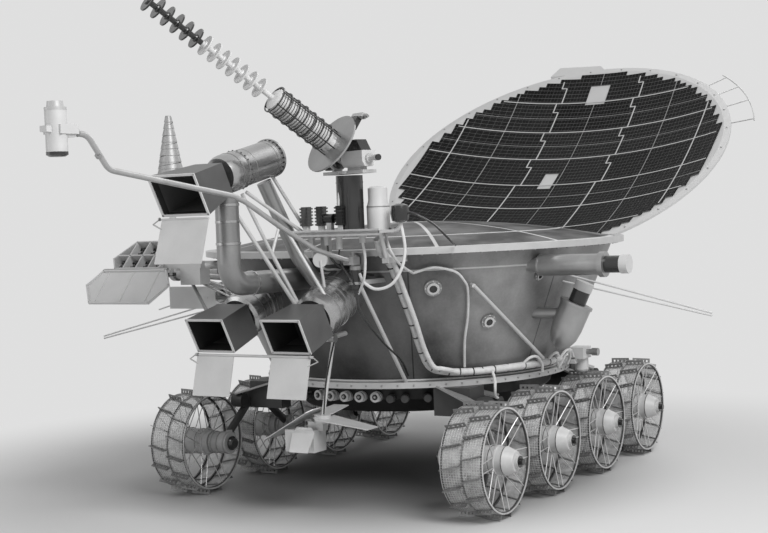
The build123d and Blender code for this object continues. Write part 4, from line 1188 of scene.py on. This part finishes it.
cover = Shape()
cover.plate(COVER_OUTLINE, COVER_PIN, SIDEWAYS, COVER_BACK, 0.004, COVER_WHITE)
for edge in zip(COVER_OUTLINE, COVER_OUTLINE[1:] + COVER_OUTLINE[:1]):
    a, b = [on_cover(across * 0.982, 0.1 + (down - 0.1) * 0.955, 0.0035) for across, down in edge]
    cover.bar(a, b, 0.006, 0.01, COVER_WHITE, COVER_BACK, 0.006)
for across in (-0.15, 0.0, 0.15):
    cover.box(on_cover(across, 0.102, 0.001), (0.18, 0.005, 0.005), COVER_WHITE, COVER_DOWN, COVER_BACK)
cover.rod(on_cover(-0.19, 0, 0), on_cover(0.19, 0, 0), 0.005, BARE, 10)
cover.piece("reflector_pan", "reflector_lid", "cover_white", "reflector_cover")


# Side plate: a thin white plate beside the tray. It is held by bare rods that run from the wall and
# from the tray's bracket, and are screwed into it.
SIDE_RODS = (((900, -440, 960), (1100, -500, 985), 9, 10), ((1192, -440, 1070), (1040, -235, 985), 6, 8),
             ((1192, -467, 1070), (1040, -262, 962), 6, 8), ((1192, -490, 1070), (1040, -285, 935), 6, 8),
             ((1164, -560, 1100), (1318, -318, 915), 8, 8))
side_plate = Shape()
side_plate.box(at(1100, -586, 982), (0.004, 0.272, 0.104), WHITE)
for start, end, radius, sides in SIDE_RODS:
    side_plate.rod(at(*start), at(*end), radius / 1000, BARE, sides)
side_plate.piece("side_plate", "chassis", "cover_white")


# Spectrometer: pale folded leaves on a dull box under the front, with a dark window below, hung from
# a white bracket by an arm that carries a cable.
LEAF = worn("spectrometer_metal", 0.58, 0.4, 0.2, 0.16, 12.0)
give(LEAF, "spectrometer")
give(WHITE, "spectrometer_bracket")
LEAVES = (((1050, 50, 466), (1050, -200, 330), (1, 0, 0), 150, 110),
          ((1050, 96, 440), (1050, 352, 402), (1, 0, 0), 150, 90),
          ((1010, 60, 452), (850, 60, 468), (0, 1, 0), 110, 80),
          ((1106, 20, 372), (1150, 20, 290), (0, 1, 0), 120, 100))
LEAF_THICK, LEAF_FOLD = 0.004, -0.026
ARM_CABLE = ((1006, 138, 776), (1022, 124, 700), (1040, 108, 600), (1048, 100, 500), (1052, 96, 452))
leaves = Shape()
for start, end, wide, near_width, far_width in LEAVES:
    run = at(*end) - at(*start)
    near, far = near_width / 2000, far_width / 2000
    outline = ((LEAF_FOLD, -near * 2 / 3), (0, -near), (run.length, -far), (run.length, far), (0, near),
               (LEAF_FOLD, near * 2 / 3))
    leaves.plate(outline, at(*start), run, run.cross(Vector(wide)), LEAF_THICK, LEAF)
leaves.turned(at(1000, 112, 790), at(1000, 160, 790), mm((0, 18), (30, 18)), BARE, 18)
leaves.tube([at(*p) for p in ARM_CABLE], 0.004, BLACK)
leaves.turned(at(1060, -4, 286), at(1060, -4, 0), mm((0, 50), (3, 50), (3, 30)), BLACK, 20)
leaves.piece("spectrometer_leaves", "spectrometer_arm", "bare_metal")


# Photometers: turned metal cans with a black neck and a white cap, one level and one hanging on each
# side, on a bare crossbar bolted to the wall.
CAN_METAL = worn("photometer_metal", 0.36, 0.32, 0.75, 0.3, 12.0)
LEVEL_CAN = ((mm((0, 28), (34, 30), (70, 48), (360, 48)), CAN_METAL), (mm((360, 57), (385, 57)), CAN_METAL),
             (mm((384, 38), (460, 38)), BLACK), (mm((458, 42), (495, 42)), WHITE))
HANGING_CAN = ((mm((0, 20), (20, 45), (60, 64), (110, 71), (215, 73)), CAN_METAL),
               (mm((215, 78), (228, 78)), CAN_METAL), (mm((227, 41), (290, 41)), BLACK),
               (mm((289, 43), (330, 43)), WHITE))
cans = Shape()
for side in (-1, 1):
    for start, toward, parts in ((at(450, side * 840, 1080), at(450, side * 1310, 1080), LEVEL_CAN),
                                 (at(330, side * 925, 690), at(290, side * 1060, 1000), HANGING_CAN)):
        for steps, paint in parts:
            cans.turned(start, toward, steps, paint, 36)
    cans.rod(at(310, side * 760, 850), at(310, side * 990, 850), 0.025, BARE, 20)
    cans.turned(at(450, side * 905, 1080), at(450, side * 1310, 1080), mm((0, 49.5), (8, 49.5)), BARE, 32)
cans.piece("photometer_cans", "chassis", "photometer_black", "telephotometers")


# Conical antenna: a white cone with nine grey rings that step in towards its tip, and a dark wire
# wound up them. The cone's own shape is the CAD's.
give(HUB_WHITE, "cone_antenna")
CONE_GREY = worn("cone_grey", 0.34, 0.42, 0.3, 0.2, 14.0)
CONE_FOOT = at(1000, -766, 1562)
CONE_RINGS, CONE_STEP, CONE_TAPER = 9, 32, 0.0055
CONE_WIRE_STEPS, CONE_WIRE_PER_TURN = 180, 30
cone = Shape()
coil = []
for k in range(CONE_WIRE_STEPS + 1):
    share = k / CONE_WIRE_STEPS
    radius = 0.0635 - 0.0495 * share
    a = 2 * math.pi * k / CONE_WIRE_PER_TURN
    coil.append(CONE_FOOT + Vector((radius * math.cos(a), radius * math.sin(a), 0.285 * share)))
cone.tube(coil, 0.0014, DULL, 5, 1)
for k in range(CONE_RINGS):
    ring_steps = ((0, 0.0655 - CONE_TAPER * k), (0.028, 0.0585 - CONE_TAPER * k))
    cone.turned(at(1000, -766, 1562 + CONE_STEP * k), at(1000, -766, 2000), ring_steps, CONE_GREY, 28)
cone.piece("cone_wire", "chassis", "cone_white")


# Whip antennas: thin white painted rods, one to the left and two to the right, which slope down
# outwards. Each is screwed into a foot on the wall.
WHIPS = (((215, 830, 1010), (150, 1600, 828)), ((415, -760, 925), (610, -1600, 728)),
         ((215, -830, 1045), (150, -1600, 845)))
give(WHITE, "whip_antennas")
whips = Shape()
for start, end in WHIPS:
    whips.rod(at(*start), at(*end), 0.004, WHITE, 8)
whips.piece("whip_rods", "chassis", "bare_metal")


# Boom: a bare tube, paler from its clamp onwards, with collars at its bends. A white clamp at its
# tip holds the sensor, which has a pale and a dark end.
TIP_X = 2.83
boom = Paint("boom_metal", 0.46, 0.36, metallic=0.55)
tip = boom.along(boom.place(at(0, 0, 0)), (1, 0, 0)) > TIP_X
boom.show("Base Color", 0.42 + (boom.noise(16.0, 4.0) - 0.5) * 0.2 + tip * 0.16)
boom.show("Metallic", 0.55 - tip * 0.45)
give(boom, "magnetometer_boom")
BOOM_COLLARS = (((2790, 330, 1655.5), (2840, 330, 1661.5)), ((2690, 330, 1578.5), (2740, 330, 1628.5)))
tip_kit = Shape()
tip_kit.box(at(2868, 330, 1665), (0.085, 0.078, 0.03), WHITE)
tip_kit.box(at(2938, 330, 1666), (0.024, 0.03, 0.02), WHITE)
tip_kit.turned(at(2891, 330, 1728), at(2891, 330, 1800), mm((0, 36.5), (10, 36.5), (10, 28), (30, 26)), RIM, 28)
tip_kit.turned(at(2891, 330, 1592), at(2891, 330, 1500), mm((0, 36.5), (10, 36.5), (16, 26)), BLACK, 28)
for start, toward in BOOM_COLLARS:
    tip_kit.turned(at(*start), at(*toward), mm((0, 13), (12, 13)), BARE, 16)
tip_kit.turned(at(1122, 330, 1160), at(1122, 330, 1200), mm((0, 24), (6, 24), (6, 10), (20, 10)), BARE, 18)
tip_kit.piece("boom_tip", "boom", "bare_metal")


# Boom drive: a black turned motor case with one bare ring, on a pale arm from the wall, with a stay
# down to the ledge.
give(BARE, "boom_drive")
DRIVE_CASE = mm((0, 12), (18, 12), (18, 17), (38, 17), (38, 28.5), (118, 28.5))
drive = Shape()
drive.turned(at(1122, 340, 985), at(1122, 340, 1110), DRIVE_CASE, BLACK, 24)
drive.turned(at(1122, 340, 1040), at(1122, 340, 1110), mm((0, 30.5), (12, 30.5)), BARE, 24)
drive.box(at(995, 340, 1046), (0.23, 0.03, 0.02), RIM)
drive.rod(at(1082, 330, 1044), at(703, 325, 563), 0.009, ROD)
drive.piece("drive_case", "chassis", "bare_metal")


# Cables: the main harness runs from the platform down the wall and along the ledge, wrapped and held
# by dark ties, with a branch beside it. Thin leads and loops are wire bundles fixed at both ends.
PALE_LEAD = worn("pale_lead", 0.66, 0.5, 0.0, 0.12, 60.0)
MAIN_LINE = ((1095, 440, 1235), (1045, 432, 1165), (965, 425, 1115), (886, 422, 1000), (807, 430, 850),
             (738, 432, 716), (686, 446, 632), (630, 500, 606), (546, 583, 598), (470, 650, 600),
             (326, 735, 604), (170, 792, 606), (65, 812, 612))
BRANCH = tuple((x + 14, y + 26, z + 4) for x, y, z in MAIN_LINE[:7]) + ((668, 500, 622), (612, 548, 604))
THIN_LINE = ((876, 486, 1073), (843, 556, 1093), (815, 592, 1091), (764, 640, 1070), (725, 658, 1031),
             (694, 660, 985), (650, 632, 868), (616, 593, 750), (566, 560, 622))
TIE = mm((0, 16.5), (1, 18.6), (6, 18.6), (7, 16.5))
TIE_SHARES = (0.05, 0.5)
LEADS = (
    (((1100, 563, 1306), (1100, 572, 1262), (1098, 580, 1190), (1106, 566, 1110), (1120, 520, 1040),
      (1136, 450, 1020), (1138, 392, 1050), (1130, 366, 1086)), 7, PALE_LEAD),
    (((1165, 410, 1224), (1166, 420, 1160), (1158, 410, 1090), (1140, 386, 1044), (1122, 356, 1010),
      (1122, 342, 990)), 6, PALE_LEAD),
    (((1180, 300, 1198), (1184, 300, 1150), (1176, 330, 1090), (1150, 350, 1040), (1126, 346, 1000)), 4, BLACK),
    (((1170, 150, 1204), (1160, 150, 1160), (1120, 180, 1110), (1060, 196, 1104), (990, 215, 1090),
      (930, 240, 1080)), 5, WRAP),
    (((1175, 235, 1216), (1170, 240, 1170), (1130, 262, 1120), (1060, 290, 1092), (960, 330, 1070)), 5, BLACK),
    (((1090, 600, 1345), (1080, 640, 1330), (1040, 690, 1290), (980, 712, 1240), (900, 700, 1205),
      (850, 690, 1192)), 5, BLACK),
    (((1122, 340, 985), (1118, 352, 930), (1080, 372, 860), (960, 380, 760), (840, 384, 680), (760, 372, 600)),
     5, BLACK),
    (((1046, 452, 1262), (1066, 474, 1222), (1082, 500, 1180), (1050, 512, 1132), (960, 500, 1096),
      (876, 486, 1073)), 6, WRAP))
LEDGE_WIRES = (WRAP, BLACK, PALE_LEAD)
LEDGE_LOOPS = (
    ((326, 735, 606), (310, 770, 640), (270, 790, 640), (240, 800, 600), (235, 796, 566)),
    ((170, 792, 606), (150, 815, 640), (110, 822, 640), (90, 812, 600), (60, 800, 566)),
    ((65, 812, 612), (20, 820, 640), (-40, 815, 640), (-80, 800, 600), (-90, 780, 566)),
    ((470, 650, 600), (500, 680, 560), (520, 690, 520), (500, 680, 480), (440, 670, 462)),
    ((-120, 800, 600), (-60, 812, 640), (-20, 800, 612), (0, 780, 566)))
leads = Shape()
leads.tube([at(*p) for p in MAIN_LINE], 0.017, WRAP, 12)
for start, end in zip(MAIN_LINE[1:], MAIN_LINE[2:]):
    for share in TIE_SHARES:
        leads.turned(at(*start).lerp(at(*end), share), at(*end), TIE, DULL, 14)
leads.tube([at(*p) for p in BRANCH], 0.012, WRAP, 10)
leads.tube([at(*p) for p in THIN_LINE], 0.006, WRAP)
for points, radius, paint in LEADS:
    leads.tube([at(*p) for p in points], radius / 1000, paint)
for k, paint in enumerate(LEDGE_WIRES):
    line = level_ring(0.748 + 0.006 * k, 0.568 + 0.007 * k, range(40 + 6 * k, 96 - 5 * k, 4))
    for wire in (line, [Vector((p.x, -p.y, p.z)) for p in line]):
        leads.tube(wire, 0.0042 - 0.0006 * k, paint, 7, 2)
for points in LEDGE_LOOPS:
    leads.tube([at(*p) for p in points], 0.0068, PALE_LEAD)
leads.piece("cable_leads", "chassis", "bare_metal")


# Ports and wall fittings: each port is a turned ring let into the wall, with a dark glass behind a
# white rim and eight bolts around it. A strut, a tab and a small sensor are screwed on each side.
WALL_LEAN = 0.4439
slant = math.sqrt(1 + WALL_LEAN**2)
PORTS = ((784, 532, 1003, 40), (543, 678, 834, 36), (394, 867, 1032, 22))
PORT_RING = ((0, 1), (30, 1), (30, 0.75), (37, 0.71), (37, 0.45))
PORT_BOLTS, PORT_BOLT_SHARE = 8, 0.87
GLASS_SHARE, GLASS_EDGE_SHARE, WHITE_RIM_SHARES = 0.44, 0.46, (0.72, 0.7)
fittings = Shape()
port_points, port_outs = [], []
for x, y, z, port_r in PORTS:
    for side in (-1, 1):
        reach = math.hypot(x - 20, y)
        out = Vector(((x - 20) / reach / slant, side * y / reach / slant, -WALL_LEAN / slant))
        spot = at(x, side * y, z)
        ring_steps = mm(*[(distance, share * port_r) for distance, share in PORT_RING])
        fittings.turned(spot - out * 0.02, spot + out, ring_steps, BARE, 32)
        glass_steps = mm((0, port_r * GLASS_SHARE), (1.2, port_r * GLASS_SHARE))
        fittings.turned(spot + out * 0.0172, spot + out, glass_steps, BLACK, 20)
        rim_steps = mm((0, port_r * GLASS_EDGE_SHARE), (0, port_r * WHITE_RIM_SHARES[0]),
                       (1.8, port_r * WHITE_RIM_SHARES[1]), (1.8, port_r * GLASS_EDGE_SHARE))
        fittings.turned(spot + out * 0.0168, spot + out, rim_steps, WHITE, 28, True)
        across = Vector((-out.y, out.x, 0)).normalized()
        port_points += round_points(spot + out * 0.0102, across, out.cross(across),
                                    port_r * PORT_BOLT_SHARE / 1000, PORT_BOLTS)
        port_outs += [out] * PORT_BOLTS
for side in (-1, 1):
    fittings.rod(at(708, side * 700, 1004), at(212, side * 792, 628), 0.009, ROD)
    fittings.rod(at(708, side * 700, 1004), at(672, side * 664, 1006), 0.01, RIM, 10)
    fittings.rod(at(212, side * 792, 628), at(205, side * 730, 632), 0.008, RIM, 10)
    fittings.box(at(628, side * 692, 1012), (0.062, 0.096, 0.018), RIM, (0.4, 0.45 * side, 1),
                 (0.61, side * 0.68, -0.44))
    fittings.box(at(-200, side * 745, 575), (0.1, 0.1, 0.03), WHITE)
    fittings.box(at(-200, side * 800, 612), (0.1, 0.08, 0.056), WHITE)
    sensor, barrel = at(-220, side * 800, 516), at(-200, side * 838, 616)
    fittings.turned(sensor, sensor + UPWARD, mm((0, 26), (10, 34), (70, 34)), WHITE, 24)
    fittings.turned(barrel, barrel + SIDEWAYS * side, mm((0, 14), (30, 14), (30, 19), (62, 19)), BARE, 18)
fittings.piece("port_faces", "chassis", "bare_metal")
repeated("port_bolts", port_points, port_outs, screw, WHITE, "chassis", "bare_metal")


# Heat source: a ribbed can on the back, dull metal with darker heat marks, turned in one piece and
# closed by a domed end.
HEATER = worn("heater_case", 0.3, 0.4, 0.7, 0.4, 7.0)
give(HEATER, "isotope_heat_source")
HEAT_RIBS, HEAT_RIB_STEP, HEAT_RIB_START = 9, 0.016, 0.20
RIB_INNER_R, RIB_OUTER_R, RIB_WIDTH = 0.138, 0.150, 0.005
ribs = Shape()
for k in range(HEAT_RIBS):
    near = HEAT_RIB_START + HEAT_RIB_STEP * k
    far = near + RIB_WIDTH
    rib_steps = ((near, RIB_INNER_R), (near, RIB_OUTER_R), (far, RIB_OUTER_R), (far, RIB_INNER_R))
    ribs.turned(at(-740, 0, 700), at(-1080, 0, 720), rib_steps, HEATER, 40, True)
ribs.turned(at(-1078, 0, 719.9), at(-1120, 0, 722.4), mm((0, 130), (12, 120), (22, 90), (28, 40)), HEATER, 32)
ribs.piece("heat_source_ribs", "chassis", "heater_metal")


# Odometer and soil penetrometer: bare turned and bent metal parts at the back, pinned to the tub, and
# so plain that the CAD shapes stay as they are.
give(BARE, "odometer_arm", "odometer_bracket", "odometer_wheel", "soil_penetrometer")
